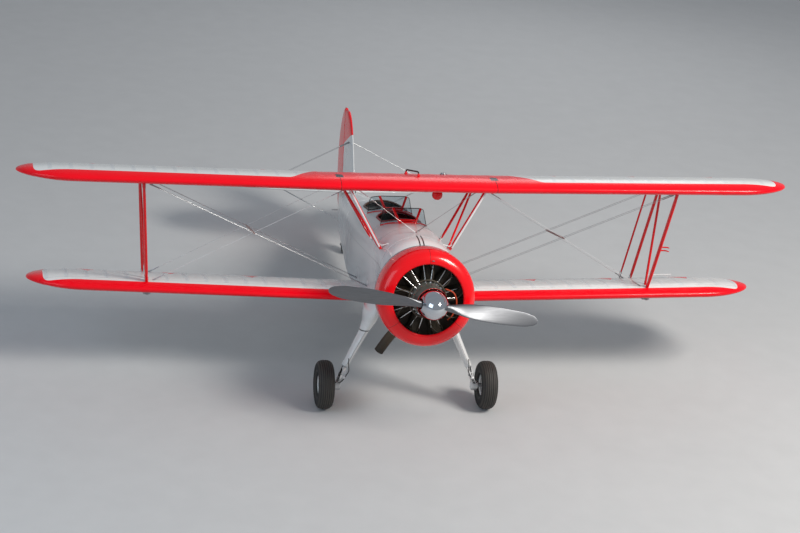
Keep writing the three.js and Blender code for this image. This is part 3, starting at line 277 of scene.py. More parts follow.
def piece(name, body, forms, *finishes, replaces=(), slot=None, sharp=32, weld=2e-5):
    """An object of forms in level coordinates, riding on a body. forms is a list, or a list for each finish.

    Points closer than weld are merged, and edges that turn by more than sharp degrees stay crisp.
    """
    groups = forms if len(finishes) > 1 else [forms]
    places, quads, fans = joined([joined(group) for group in groups])
    counts = [sum(len(f[1]) for f in group) for group in groups]
    tri_counts = [sum(len(f[2]) for f in group) for group in groups]
    mesh = bpy.data.meshes.new(name)
    mesh.vertices.add(len(places))
    mesh.vertices.foreach_set("co", parked(places).ravel())
    mesh.loops.add(quads.size + fans.size)
    mesh.loops.foreach_set("vertex_index", np.concatenate([quads.ravel(), fans.ravel()]))
    mesh.polygons.add(len(quads) + len(fans))
    starts = np.concatenate([np.arange(len(quads)) * 4, quads.size + np.arange(len(fans)) * 3])
    mesh.polygons.foreach_set("loop_start", starts)
    order = np.concatenate([np.repeat(range(len(groups)), c) for c in (counts, tri_counts)])
    mesh.polygons.foreach_set("material_index", order)
    mesh.update(calc_edges=True)
    made = bpy.data.objects.new(name, mesh)
    bpy.context.scene.collection.objects.link(made)
    if weld:
        merge(made, weld)
    mesh.shade_smooth()
    mesh.set_sharp_from_angle(angle=math.radians(sharp))
    for finish in finishes:
        mesh.materials.append(finish.material)
    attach(made, body)
    if replaces:
        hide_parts(*replaces)
    return made


def merge(made, distance):
    """Welds points that lie together and drops what faces collapse with them."""
    work = bmesh.new()
    work.from_mesh(made.data)
    bmesh.ops.remove_doubles(work, verts=work.verts, dist=distance)
    bmesh.ops.dissolve_degenerate(work, edges=work.edges, dist=distance / 4)
    work.to_mesh(made.data)
    work.free()


SIDES = (("left", lambda form: form), ("right", flipped))


def pair(name, forms, *finishes, replaces=None, **kept):
    """The same piece on both sides of the airframe, named _left and _right like the nodes it replaces."""
    for side, turn in SIDES:
        several = len(finishes) > 1
        groups = [[turn(form) for form in group] for group in (forms if several else [forms])]
        piece(f"{name}_{side}", "airframe", groups if several else groups[0], *finishes,
              replaces=[f"{replaces}_{side}"] if replaces else (), **kept)


def unit(vector):
    """The vector's direction, of length 1."""
    return np.asarray(vector, float) / np.linalg.norm(vector)


def circle(count):
    """Angles once round, evenly spaced."""
    return np.linspace(0, 2 * np.pi, count, endpoint=False)


def spoke(angle):
    """The direction across the thrust line at an angle from the top, turning to port."""
    return np.array([math.sin(angle), 0, math.cos(angle)])


# columns: station, half width, crown, shoulder, chine, keel
STATIONS = np.array([
    (0.930, 0.470, 0.470, 0.010, -0.010, -0.480), (1.040, 0.500, 0.545, 0.060, -0.060, -0.530),
    (1.160, 0.492, 0.612, 0.140, -0.130, -0.565), (1.300, 0.475, 0.640, 0.210, -0.200, -0.580),
    (1.490, 0.458, 0.650, 0.290, -0.250, -0.588), (2.090, 0.462, 0.682, 0.330, -0.290, -0.585),
    (2.700, 0.462, 0.676, 0.340, -0.290, -0.572), (3.400, 0.458, 0.672, 0.345, -0.280, -0.545),
    (4.100, 0.415, 0.650, 0.335, -0.250, -0.495), (4.700, 0.350, 0.560, 0.310, -0.205, -0.420),
    (5.400, 0.276, 0.482, 0.290, -0.150, -0.325), (6.100, 0.200, 0.432, 0.290, -0.090, -0.235),
    (6.600, 0.128, 0.404, 0.290, -0.040, -0.165), (6.935, 0.058, 0.384, 0.290, 0.020, -0.095),
])
FIREWALL, CABIN_END, TAIL_END = 1.300, 4.100, 6.935
DECK_LINE, BELLY_LINE, SKIN, JOINT = 0.250, -0.400, 0.020, 0.0006
COCKPITS = {"front": (2.640, 0.660), "rear": (3.590, 0.680)}
COCKPIT_HALF, COCKPIT_CORNER = 0.255, 0.190


def smooth(rows, at):
    """Each column of a table against its first one, as a cubic through the rows with their mean slopes."""
    x, y = rows[:, 0], rows[:, 1:]
    slope = np.gradient(y, x, axis=0)
    i = np.clip(np.searchsorted(x, at) - 1, 0, len(x) - 2)
    h = (x[i + 1] - x[i])[..., None]
    t = np.clip((np.asarray(at)[..., None] - x[i][..., None]) / h, 0, 1)
    low, high = y[i] * (1 - t) ** 2 * (1 + 2 * t), y[i + 1] * t**2 * (3 - 2 * t)
    return low + high + h * (slope[i] * t * (1 - t) ** 2 - slope[i + 1] * t**2 * (1 - t))


def body_at(y, way, sink=0.0):
    """Points of the body's skin, sunk by so much, at stations y and ways round the section.

    way runs 0 at the crown, 1 at the port shoulder, 2 at the chine, 3 at the keel and on to 6, the crown
    again, and below 0 to starboard: a quarter of an ellipse, a straight side, and a quarter of an ellipse.
    """
    half, crown, shoulder, chine, keel = np.moveaxis(smooth(STATIONS, y), -1, 0)
    beyond = abs(way) > 3
    side = np.sign(way) * np.where(beyond, -1, 1)
    way = np.where(beyond, 6 - abs(way), abs(way))
    top, low = np.clip(way, 0, 1) * np.pi / 2, np.clip(way - 2, 0, 1) * np.pi / 2
    flat = shoulder + (chine - shoulder) * np.clip(way - 1, 0, 1)
    x = (half - sink) * np.where(way < 1, np.sin(top), np.cos(low))
    z = flat + (crown - shoulder - sink) * np.cos(top) - (chine - keel - sink) * np.sin(low)
    return np.stack(np.broadcast_arrays(side * x, y, z), -1)


def way_to(y, line):
    """The way round the port side at which the skin at each station has the height of a line."""
    half, crown, shoulder, chine, keel = np.moveaxis(smooth(STATIONS, y), -1, 0)
    top = np.arccos(np.clip((line - shoulder) / (crown - shoulder), 0, 1)) * 2 / np.pi
    low = 2 + np.arcsin(np.clip((chine - line) / (chine - keel), 0, 1)) * 2 / np.pi
    flat = 1 + (shoulder - line) / (shoulder - chine)
    return np.where(line > shoulder, top, np.where(line < chine, low, flat))


def body_panel(start, end, rows, columns):
    """A plate of the body over the cabin, between two ways round that depend on the station."""
    y = np.linspace(FIREWALL + JOINT, CABIN_END, rows)[:, None]
    way = start(y) + (end(y) - start(y)) * np.linspace(0, 1, columns)
    return slab(body_at(y + 0 * way, way), body_at(y + 0 * way, way, SKIN))


def slab(outer, inner):
    """Two matching open grids as the two faces of one closed plate, joined all round their edge."""
    wrapped = np.concatenate([outer, inner[:, ::-1]], 1)
    caps = [np.stack([g[r] for g in (outer, inner)]) for r in (0, -1)]
    tube = net(wrapped, ends=False)
    ends = [net(cap, around=False, ends=False) for cap in caps]
    ends[0] = (ends[0][0], ends[0][1][:, ::-1], ends[0][2])
    return outward(joined([tube, *ends]))


def rounded(half_x, half_y, corner, steps=8):
    """The outline of a rectangle with round corners, as quarter circles about its four corner centres."""
    quarters = []
    for k, (across, along) in enumerate(((1, 1), (-1, 1), (-1, -1), (1, -1))):
        turn = np.linspace(0, np.pi / 2, steps) + k * np.pi / 2
        x = across * (half_x - corner) + corner * np.cos(turn)
        y = along * (half_y - corner) + corner * np.sin(turn)
        quarters.append(np.stack([x, y], -1))
    return np.concatenate(quarters)


def cut_by(made, tool):
    """Cuts a closed form out of a piece's mesh, for good."""
    knife = bpy.data.objects.new("knife", bpy.data.meshes.new("knife"))
    places, quads, fans = tool
    knife.data.from_pydata(parked(places).tolist(), [], [*quads.tolist(), *fans.tolist()])
    bpy.context.scene.collection.objects.link(knife)
    boolean = made.modifiers.new("cut", "BOOLEAN")
    boolean.object, boolean.operation, boolean.solver = knife, "DIFFERENCE", "EXACT"
    seen = made.evaluated_get(bpy.context.evaluated_depsgraph_get())
    done = bpy.data.meshes.new_from_object(seen)
    made.modifiers.clear()
    old, made.data = made.data, done
    done.name = made.name
    bpy.data.meshes.remove(old)
    bpy.data.objects.remove(knife)


def tube(path, radius, sides=16, ends=True, along=False):
    """A round bar along a path of points: circles across the path's direction, turned on without twist."""
    path = np.asarray(path, float)
    run = np.gradient(path, axis=0)
    if along:
        run = np.roll(path, -1, 0) - np.roll(path, 1, 0)
    run /= np.linalg.norm(run, axis=1, keepdims=True)
    away = np.cross(run[0], (0, 0, 1) if abs(run[0, 2]) < 0.9 else (1, 0, 0))
    frames = []
    for step in run:
        away = unit(away - step * (away @ step))
        frames.append((away, np.cross(step, away)))
    frames = np.array(frames)
    turn = circle(sides)
    ring = np.cos(turn)[None, :, None] * frames[:, :1] + np.sin(turn)[None, :, None] * frames[:, 1:]
    reach = np.broadcast_to(np.asarray(radius, float), len(path))[:, None, None]
    return net(path[:, None] + ring * reach, ends=ends, along=along)


# where sheets meet, with half a fine seam's width; doors by station, height and half sizes; two ruled lines
NOSE_FRONT, FINE, SHEET_END, SIDE_LINE, SIDE_LINE_END = 0.9325, 0.0012, 1.78, -0.045, 3.0
DOORS = ((1.62, 0.06, 0.11, 0.07), (2.05, -0.16, 0.16, 0.09), (4.55, 0.10, 0.10, 0.08))
RULED_X, RULED_HALF, RULED_END = (-0.024, 0.026), 0.0055, 1.350
white_paint = Finish("white_paint", Coat_Weight=0.5, Coat_Roughness=0.06)
X, Y, Z = white_paint.level()
seams = white_paint.line(Y, FIREWALL, 0.0016) + white_paint.line(Y, SHEET_END, FINE)
deck_line = white_paint.line(Z, DECK_LINE, 0.0014) * white_paint.ease(CABIN_END - Y, 0, 0.01)
seams = (seams + deck_line).by("MINIMUM", 1)
for door_y, door_z, half_long, half_high in DOORS:
    edge = (abs(Y - door_y) - half_long).by("MAXIMUM", abs(Z - door_z) - half_high)
    seams = seams.by("MAXIMUM", white_paint.line(edge, 0, FINE) * 0.8)
side_line = white_paint.line(Z, SIDE_LINE, FINE) * white_paint.ease(SIDE_LINE_END - Y, 0, 0.01) * 0.7
seams = seams.by("MAXIMUM", side_line)
ruled = white_paint.line(X, RULED_X[0], RULED_HALF) + white_paint.line(X, RULED_X[1], RULED_HALF)
ruled = ruled * Z.by("GREATER_THAN", 0.4) * (1 - white_paint.ease(Y, RULED_END - 0.002, RULED_END))
ruled = ruled * white_paint.ease(Y, NOSE_FRONT, 0.94)
streaks = white_paint.noise(2.2, 5.0, (1, 0.25, 2.5))
clouds = white_paint.noise(0.9, 2.0)
streaks_and_nose_shade = white_paint.mix(streaks * 0.5, tint(224, 225, 224), tint(204, 208, 214))
# the flat front of the nose, ahead of NOSE_FRONT, is painted near black: painted shade behind the engine
streaks_and_nose_shade = white_paint.mix(white_paint.ease(NOSE_FRONT - Y, 0, 0.0005), streaks_and_nose_shade, tint(46, 45, 44))
white_paint.set(
    Base_Color=white_paint.mix(ruled, white_paint.mix(seams, streaks_and_nose_shade, tint(84, 86, 92)), tint(16, 16, 18)),
    Roughness=0.2 + clouds * 0.14 + seams * 0.3,
)
white_paint.bump(white_paint.noise(55, 2.0) * 0.25 - seams, 0.0012, 0.5)

inside_paint = mottled("inside_paint", (9, 4), (74, 82, 74), (92, 100, 88), 0.62)
inside_paint.bump(inside_paint.noise(140, 2), 0.0008, 0.5)

deck_at = lambda y: way_to(y, DECK_LINE - JOINT)
belly_at = lambda y: way_to(y, BELLY_LINE)
nose = body_at(np.linspace(0.930, FIREWALL, 26)[:, None], np.linspace(-3, 3, 145)[None, :-1])
piece("nose_skin", "airframe", [net(nose)], white_paint, replaces=["nose_cowling"], slot="white_paint")
deck = body_panel(lambda y: -deck_at(y), deck_at, 120, 81)
deck_skin = piece("deck_skin", "airframe", [deck], white_paint, slot="white_paint", weld=0)
for station, length in COCKPITS.values():
    outline = rounded(COCKPIT_HALF, length / 2, COCKPIT_CORNER, 12)
    flat = np.column_stack([outline[:, 0], station + outline[:, 1], np.zeros(len(outline))])
    cut_by(deck_skin, net(np.stack([flat + (0, 0, z) for z in (DECK_LINE + 0.02, 1.2)])))
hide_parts("top_deck")
panel = body_panel(deck_at, belly_at, 60, 25)
pair("side_skin", [panel], white_paint, replaces="side_panel", slot="white_paint")
belly = body_panel(belly_at, lambda y: 6 - belly_at(y), 60, 41)
piece("belly_skin", "airframe", [belly], white_paint, replaces=["belly_panel"], slot="white_paint")

# Rear body. Doped white fabric over eight stringers a side and frames; between them it is drawn in by a sine
# squared round the section times a sine along the body, which dies away in the last half metre.
STRINGER_SAG, FRAMES_APART = 0.0028, 0.47
stations = np.linspace(CABIN_END + JOINT, TAIL_END, 150)[:, None]
ways = np.linspace(-3, 3, 193)[None, :-1]
between_stringers = np.sin(np.pi * ways * 8 / 3) ** 2
between_frames = np.abs(np.sin(np.pi * (stations - CABIN_END) / FRAMES_APART)) ** 0.7
fading = np.clip((TAIL_END - stations) * 2, 0, 1)
sag = STRINGER_SAG * between_stringers * (0.25 + 0.75 * between_frames) * fading
stations = stations + 0 * ways
outer, sunk = body_at(stations, ways), body_at(stations, ways, SKIN)
rear = net(outer + (sunk - outer) * (sag / SKIN)[..., None])
piece("rear_skin", "airframe", [rear], white_paint, replaces=["rear_body"], slot="white_paint")

# Wings. Wooden ribs a quarter of a metre apart on two spars under doped fabric, which draws in a little
# between them; the nose is sheeted. Each panel is one skin over a grid of span stations and a ring of chord
# shares, and where the aileron hangs the ring turns in and follows the round cove.
CHORD, INCIDENCE, TIP_LENGTH, TIP_PEAK, TIP_RISE = 1.524, math.radians(3), 0.700, 0.32, 0.038
UPPER = {"y": 1.353, "z": 1.228, "half_span": 4.902, "dihedral": math.radians(0.74), "root": 0.982}
LOWER = {"y": 2.027, "z": -0.298, "half_span": 4.744, "dihedral": math.radians(1.63), "root": 0.460}
LOWER_START = 0.380
RIBS_APART, FABRIC_SAG = 0.250, 0.0024
HINGE, AILERON_FROM, AILERON_TO, AILERON_GAP = 0.76, 2.440, 4.190, 0.009
LUG_SHARES, LUG_HALF, SLOT_HALF, LUG_REACH, SLOT_DEPTH = (0.12, 0.5, 0.88), 0.008, 0.015, 0.011, 0.018
SPARS = {"front": 0.165 / CHORD, "rear": 0.930 / CHORD}


def thickness(c):
    """Half the section's depth at a chord share, for a 13% section, as a share of the chord."""
    section = 0.2969 * np.sqrt(c) - 0.126 * c - 0.3516 * c**2 + 0.2843 * c**3 - 0.1036 * c**4
    return 0.65 * section + 0.002 * c


def camber(c):
    """The middle line's height: one parabola up to a fifth of the chord and a flatter one behind it."""
    return np.where(c < 0.2, 0.5 * (0.4 * c - c * c), 0.03125 * (0.6 + 0.4 * c - c * c))


def wing_at(wing, x, c, side, sag=FABRIC_SAG):
    """Points of a wing at span x and chord share c: side 1 is the top, -1 the underside, 0 the middle.

    The tip is drawn in by an ellipse, share = sqrt(1 - u²), towards the point at TIP_PEAK of the chord.
    """
    x, c, side = np.broadcast_arrays(*(np.asarray(v, float) for v in (x, c, side)))
    u = np.clip((abs(x) - wing["half_span"] + TIP_LENGTH) / TIP_LENGTH, 0, 1)
    share = np.sqrt(1 - u * u)
    window = np.clip((c - 0.10) / 0.12, 0, 1) * np.clip((0.99 - c) / 0.1, 0, 1) * share
    drawn = side * sag * np.sin(np.pi * x / RIBS_APART) ** 2 * window
    z = ((camber(c) + side * thickness(c)) * CHORD - drawn) * share
    y = TIP_PEAK * CHORD * (1 - share) + c * CHORD * share
    rise = np.tan(wing["dihedral"]) * np.maximum(0, abs(x) - wing["root"]) + TIP_RISE * u * u
    aft = wing["y"] + y * np.cos(INCIDENCE) + z * np.sin(INCIDENCE)
    return np.stack([x, aft, wing["z"] - y * np.sin(INCIDENCE) + z * np.cos(INCIDENCE) + rise], -1)


def spread(start, end, count, easing=1.0):
    """Numbers from start to end, closer together at the start as the easing grows."""
    return start + (end - start) * np.linspace(0, 1, count) ** easing


nose_radius = thickness(HINGE) * CHORD - 0.0015
cove_radius = nose_radius + AILERON_GAP
cove_turn = math.acos(0.55 * nose_radius / cove_radius)
lip = HINGE - 0.55 * nose_radius / CHORD


CHORD_BACK = np.array([0, math.cos(INCIDENCE), -math.sin(INCIDENCE)])
CHORD_UP = np.array([0, math.sin(INCIDENCE), math.cos(INCIDENCE)])


def round_hinge(wing, x, radius, turns):
    """Points about an aileron's hinge line: radius·(-cos, sin) in the plane of the section."""
    back = radius * np.cos(turns)[..., None] * CHORD_BACK
    up = radius * np.sin(turns)[..., None] * CHORD_UP
    return wing_at(wing, x, HINGE, 0, 0) - back + up


def wing_panel(wing, start):
    """The port panel: full rings inboard and at the tip, and rings that end in the cove along the bay."""
    bay = (AILERON_FROM - AILERON_GAP, AILERON_TO + AILERON_GAP)
    tip_start = wing["half_span"] - TIP_LENGTH
    inboard, along = spread(start, bay[0], 86), spread(bay[0], bay[1], 72)
    rounds = tip_start + TIP_LENGTH * np.sin(np.linspace(0, 1, 26) * np.pi / 2 * 0.985)
    x = np.concatenate([inboard, along, spread(bay[1], tip_start, 2), rounds[1:]])[:, None]
    in_bay = np.zeros(len(x), bool)
    in_bay[len(inboard): len(inboard) + len(along)] = True
    front, back = lip * (1 - np.cos(np.linspace(0, 1, 26) * np.pi / 2)), spread(lip, 1, 11)[1:]
    c = np.concatenate([front, back, back[::-1], front[:0:-1]])[None, :]
    side = np.concatenate([np.ones(36), -np.ones(35)])[None, :]
    points = wing_at(wing, x, c, side)
    turns = np.linspace(cove_turn, -cove_turn, 20)[None, :]
    cove = round_hinge(wing, x + 0 * turns, cove_radius, turns + 0 * x)
    points[in_bay, 26:46] = cove[in_bay]
    return net(points)


def aileron(wing):
    """The port aileron: a round nose about its hinge line, with three slots for the wing's hinge lugs."""
    places = [AILERON_FROM + s * (AILERON_TO - AILERON_FROM) for s in LUG_SHARES]
    stops = [AILERON_FROM, *(p + d for p in places for d in (-SLOT_HALF, SLOT_HALF)), AILERON_TO]
    runs = [spread(a, b, 4 if i % 2 else 20) for i, (a, b) in enumerate(zip(stops[:-1], stops[1:]))]
    x = np.concatenate(runs)[:, None]
    slotted = np.concatenate([np.full(len(r), i % 2 == 1) for i, r in enumerate(runs)])
    back = spread(HINGE, 1, 12)
    c = np.concatenate([back, back[::-1]])[None, :] + 0 * x
    c[slotted] = np.maximum(c[slotted], HINGE + SLOT_DEPTH / CHORD)
    side = np.concatenate([np.ones(12), -np.ones(12)])[None, :]
    skin = wing_at(wing, x, c, side)
    turns = np.linspace(-np.pi / 2, np.pi / 2, 17)[None, 1:-1]
    nose = round_hinge(wing, x + 0 * turns, nose_radius, turns + 0 * x)
    share = np.linspace(0, 1, 17)[None, 1:-1, None]
    nose[slotted] = skin[slotted, -1:] * (1 - share) + skin[slotted, :1] * share
    return net(np.concatenate([skin, nose], 1))


def spun(rows, at=(0, 0, 0), axis=(0, 1, 0), sides=64, closed=False):
    """A turned form: rows of (radius, distance along the axis), as circles about the axis from a point.

    closed joins the last row to the first, as for a ring; otherwise the ends are closed.
    """
    axis = unit(axis)
    side = unit(np.cross(axis, (1, 0, 0) if abs(axis[0]) < 0.7 else (0, 0, 1)))
    turn = circle(sides)
    ring = np.cos(turn)[:, None] * side + np.sin(turn)[:, None] * np.cross(axis, side)
    rows = np.asarray(rows, float)
    points = np.asarray(at) + rows[:, :1, None] * ring + rows[:, 1:, None] * axis
    return net(points, ends=not closed, along=closed)


def rod(at, axis, radius, low, high, sides):
    """A plain round bar along an axis through a point, from low to high along it."""
    return spun([(0, low), (radius, low), (radius, high), (0, high)], at, axis, sides)


def paint_of(name, wing, hump):
    """Wing paint: white with a red nose band, red tip, and red teeth on top along the rear.

    The chord share and the height over the section's middle line are worked out from the level coordinates.
    hump is how far back the red goes over the middle of the span.
    """
    paint = Finish(name, Coat_Weight=0.15, Coat_Roughness=0.05, Specular_IOR_Level=0.22)
    X, Y, Z = paint.level()
    out, back, up = abs(X), Y - wing["y"], Z - wing["z"]
    c = (back * math.cos(INCIDENCE) - up * math.sin(INCIDENCE)) / CHORD
    u = ((out - (wing["half_span"] - TIP_LENGTH)) / TIP_LENGTH).by("MAXIMUM", 0)
    rise = (out - wing["root"]).by("MAXIMUM", 0) * math.tan(wing["dihedral"]) + u * u * TIP_RISE
    height = (up - rise) * math.cos(INCIDENCE) + back * math.sin(INCIDENCE)
    middle = (c * 0.4 + 0.6 - c * c) * (0.03125 * CHORD)
    top = height.by("GREATER_THAN", middle)
    band_at = BAND[name]
    edge = band_at + (1 - paint.ease(out, 1.02, 1.62)) * (hump - band_at)
    band = 1 - paint.ease(c - edge, -0.0015, 0.0015)
    behind = ((c - TIP_PEAK).by("MAXIMUM", 0) / (1.0 - TIP_PEAK))
    before = ((TIP_PEAK - c).by("MAXIMUM", 0) / (TIP_PEAK - band_at)).by("POWER", 8)
    reach = u / TIP_WHITE
    square = reach * reach
    square4 = square * square * square * square
    rear_tip = paint.ease(square + behind * behind, 0.985, 1.0)
    front_tip = paint.ease(square4 + before, 0.97, 1.0)
    tip = rear_tip.by("MAXIMUM", front_tip) * u.by("GREATER_THAN", 0.001)
    teeth = (out - TOOTH_FIRST + 4 * TOOTH_PITCH).by("PINGPONG", TOOTH_PITCH / 2)
    tooth = paint.ease((c - TOOTH_TIP) * (TOOTH_HALF / (1 - TOOTH_TIP)) - teeth, 0, 0.003)
    tooth = tooth * top * paint.ease(out, TEETH_FROM, TEETH_FROM + 0.01)
    tooth = tooth * (1 - paint.ease(out, TEETH_TO, TEETH_TO + 0.01))
    red = (band + tip + tooth).by("MINIMUM", 1)
    ribs = paint.line(out.by("PINGPONG", RIBS_APART / 2), 0, 0.0035)
    tapes_and_shade = paint.line(out.by("PINGPONG", RIBS_APART / 2), 0, 0.016) * paint.ease(c, 0.1, 0.11)
    dirt = paint.noise(1.6, 5.0, (1, 0.3, 1))
    # the rib tapes are drawn darker than the fabric beside them, as painted shade along the rib lines; the
    # noise is dirt
    white = paint.mix(dirt * 0.4 + tapes_and_shade * 0.45, tint(228, 229, 227), tint(196, 201, 206))
    scarlet = paint.mix(dirt, tint(255, 0, 30), tint(236, 0, 22))
    joint = paint.line(c, band_at + 0.045, 0.0008) * 0.5
    painted = paint.mix(red, white, scarlet)
    if wing is UPPER:
        joint = paint.line(out, UPPER["root"], 0.0022)
        patch = paint.ease(out, PATCH_OUT[0], PATCH_OUT[0] + 0.004)
        patch = patch * (1 - paint.ease(out, PATCH_OUT[1] - 0.004, PATCH_OUT[1])) * top
        patch = patch * paint.ease(c, PATCH_BACK[0], PATCH_BACK[0] + 0.003)
        patch = patch * (1 - paint.ease(c, PATCH_BACK[1] - 0.003, PATCH_BACK[1]))
        painted = paint.mix(patch, painted, tint(14, 24, 34))
    paint.set(
        Base_Color=paint.mix(joint, painted, tint(28, 26, 30)),
        Roughness=0.16 + paint.noise(0.8, 2.0) * 0.16 + tapes_and_shade * 0.05,
    )
    return paint.bump(tapes_and_shade * 0.10 + ribs * 0.12 + paint.noise(70, 2.0) * 0.12 - joint, 0.0012, 0.5)


# where the paint's lines lie: chord share of the nose band, share of the tip that is white, the teeth, and
# the dark patch at each side of the centre by span and by chord share
BAND, TIP_WHITE = {"upper_wing_paint": 0.084, "lower_wing_paint": 0.068}, 0.71
TOOTH_FIRST, TOOTH_PITCH, TOOTH_HALF, TOOTH_TIP = 1.87, 1.05, 0.30, 0.40
TEETH_FROM, TEETH_TO = 1.30, 4.35
PATCH_OUT, PATCH_BACK = (0.930, 1.028), (0.110, 0.213)
upper_paint = paint_of("upper_wing_paint", UPPER, 0.56)
lower_paint = paint_of("lower_wing_paint", LOWER, BAND["lower_wing_paint"])


def lugs(wing):
    """The three hinge lugs that reach back from the cove to the hinge line, each with its pin."""
    made = []
    for share in LUG_SHARES:
        x = AILERON_FROM + share * (AILERON_TO - AILERON_FROM)
        centre = wing_at(wing, x, HINGE, 0, 0)
        made.append(rod(centre, (1, 0, 0), 0.006, -0.024, 0.024, 16))
        square = rounded(LUG_HALF, 1.0, 0.003, 4)
        rings = []
        for step, half in ((-cove_radius - 0.004, 0.011), (-0.02, 0.011), (0.004, 0.011),
                           (LUG_REACH, 0.008)):
            outline = np.column_stack([square[:, 0], 0 * square[:, 0], half * np.sign(square[:, 1])])
            rings.append(centre + CHORD_BACK * step + outline)
        made.append(net(np.stack(rings)))
    return made


steel = mottled("steel", (30, 3), (176, 178, 180), (150, 151, 154), 0.26, 0.2, (18, 2), Metallic=1.0)
for name, wing, start, paint in (("upper", UPPER, UPPER["root"] + JOINT, upper_paint),
                                 ("lower", LOWER, LOWER_START, lower_paint)):
    panel, flap, hinges = wing_panel(wing, start), aileron(wing), lugs(wing)
    for side, turn in SIDES:
        piece(f"{name}_wing_skin_{side}", "airframe", [turn(panel)], paint,
              replaces=[f"{name}_wing_{side}"], slot="white_paint", sharp=40)
        piece(f"{name}_aileron_skin_{side}", f"{name}_aileron_{side}", [turn(flap)], paint,
              replaces=[f"{name}_aileron_{side}"], slot="white_paint", sharp=40)
        piece(f"{name}_aileron_hinges_{side}", "airframe", [turn(h) for h in hinges], steel, slot="steel")

# Centre section. The same fabric and paint, with a round cut in its trailing edge to see the sky from the
# cockpits; it carries the wing panels on the cabane struts.
CUT_BACK, CUT_RADIUS = 0.380, 0.620
x = np.linspace(-UPPER["root"], UPPER["root"], 161)[:, None]
cut_edge = (CHORD + CUT_BACK - np.sqrt(np.maximum(CUT_RADIUS**2 - x**2, 0))) / CHORD
share = np.concatenate([spread(0, 0.5, 22, 1.9), spread(0.5, 1, 30)[1:]])
c = np.minimum(np.concatenate([share, share[:0:-1]])[None, :], np.minimum(cut_edge, 1))
side_of = np.concatenate([np.ones(len(share)), -np.ones(len(share) - 1)])[None, :]
piece("centre_section_skin", "airframe", [net(wing_at(UPPER, x, c, side_of))], upper_paint,
      replaces=["wing_centre_section"], slot="white_paint", sharp=40)

# Ring cowl. A rolled sheet ring with a thick lip, a quarter ellipse in section, glossy red outside and dull
# inside, split at the top and low on both sides. A strap holds its rear edge, a latch sits in its mouth, and
# two rows of small screws run round it.
COWL = {"mouth": 0.433, "front": 0.537, "radius": 0.602, "full": 0.690, "end": 0.985, "end_radius": 0.584}
LIP_ROLL, COWL_SHEET, COWL_SEAM = 0.018, 0.012, 0.0013
turn = np.linspace(0, np.pi / 2, 22)
lip_in, lip_out = COWL["mouth"], COWL["radius"]
lip_deep, lip_wide = COWL["full"] - COWL["front"], lip_out - lip_in - LIP_ROLL
nose_rows = np.column_stack([lip_in + LIP_ROLL + lip_wide * np.sin(turn),
                             COWL["full"] - lip_deep * np.cos(turn)])
aft = np.linspace(COWL["full"], COWL["end"], 18)
skirt_at = np.array([(COWL["full"], lip_out), (0.80, 0.6025), (0.90, 0.5965),
                     (COWL["end"], COWL["end_radius"])])
skirt = np.column_stack([smooth(skirt_at, aft)[:, 0], aft])
hem = np.array([(0.586, 0.9855), (0.5855, 0.9875), (0.5815, 0.989), (0.575, 0.9875), (0.571, 0.983)])
inner = np.array([(0.581, 0.80), (0.580, 0.72), (0.560, 0.665), (0.522, 0.618), (0.474, 0.586),
                  (0.444, 0.572), (0.435, 0.563), (0.4335, 0.553), (0.437, 0.5445), (0.444, 0.5385)])
cowl_rows = np.concatenate([nose_rows, skirt[1:], hem, inner])
red_enamel = Finish("red_enamel", Coat_Weight=0.45, Coat_Roughness=0.03, Specular_IOR_Level=0.3)
X, Y, Z = red_enamel.level()
seam = red_enamel.line(X, 0, COWL_SEAM) * Z.by("GREATER_THAN", 0)
seam = seam + red_enamel.line(abs(X) * 0.622 + Z * 0.783, 0, COWL_SEAM) * (1 - Z.by("GREATER_THAN", -0.1))
radius = (X * X + Z * Z).by("SQRT")
past = ((COWL["full"] - Y) / lip_deep).by("MAXIMUM", 0)
sheet = (1 - past * past).by("MAXIMUM", 0).by("SQRT") * lip_wide + (lip_in + LIP_ROLL - COWL_SHEET)
sheet = sheet - red_enamel.ease(Y, 0.86, 0.98) * 0.0085
inside = (1 - red_enamel.ease(radius - sheet, -0.001, 0.001)) * red_enamel.ease(Y, 0.555, 0.562)
shade = red_enamel.mix(red_enamel.noise(2.5, 4.0), tint(255, 0, 20), tint(234, 0, 16))
red_enamel.set(
    Base_Color=red_enamel.mix(seam, red_enamel.mix(inside, shade, tint(54, 52, 50)), tint(20, 14, 14)),
    Roughness=0.18 + red_enamel.noise(1.4, 2.0) * 0.12 + inside * 0.4,
)
red_enamel.bump(red_enamel.noise(60, 2.0) * 0.15 - seam, 0.0015, 0.5)
cowl = spun(cowl_rows, sides=160, closed=True)
SCREWS = 36
screw_head = [(0, 0.0030), (0.0034, 0.0026), (0.0048, 0.0012), (0.0050, -0.002), (0, -0.002)]
screws = []
for k in range(SCREWS):
    out = spoke(2 * np.pi * (k + 0.5) / SCREWS)
    for reach, y in ((0.6022, 0.745), (0.5905, 0.955)):
        screws.append(spun(screw_head, out * reach + (0, y, 0), out, 10))
strap = spun([(0.5925, 0.930), (0.5945, 0.932), (0.5920, 0.966), (0.5890, 0.967)], sides=120, closed=True)
latch_at = np.array([0.036, 0.5390, 0.480])
stud = [(0, 0.010), (0.005, 0.009), (0.006, 0.006), (0.006, 0), (0, 0)]
latch = [tube([latch_at - (0.016, 0, 0), latch_at + (0.016, 0, 0)], 0.0065, 12)]
for across in (-0.011, 0.011):
    latch.append(spun(stud, latch_at + (across, 0, 0), (0, -1, 0), 10))
piece("cowl_ring", "airframe", [[cowl], [*screws, strap, *latch]], red_enamel, steel,
      replaces=["engine_cowl"], slot="red_paint", sharp=40)

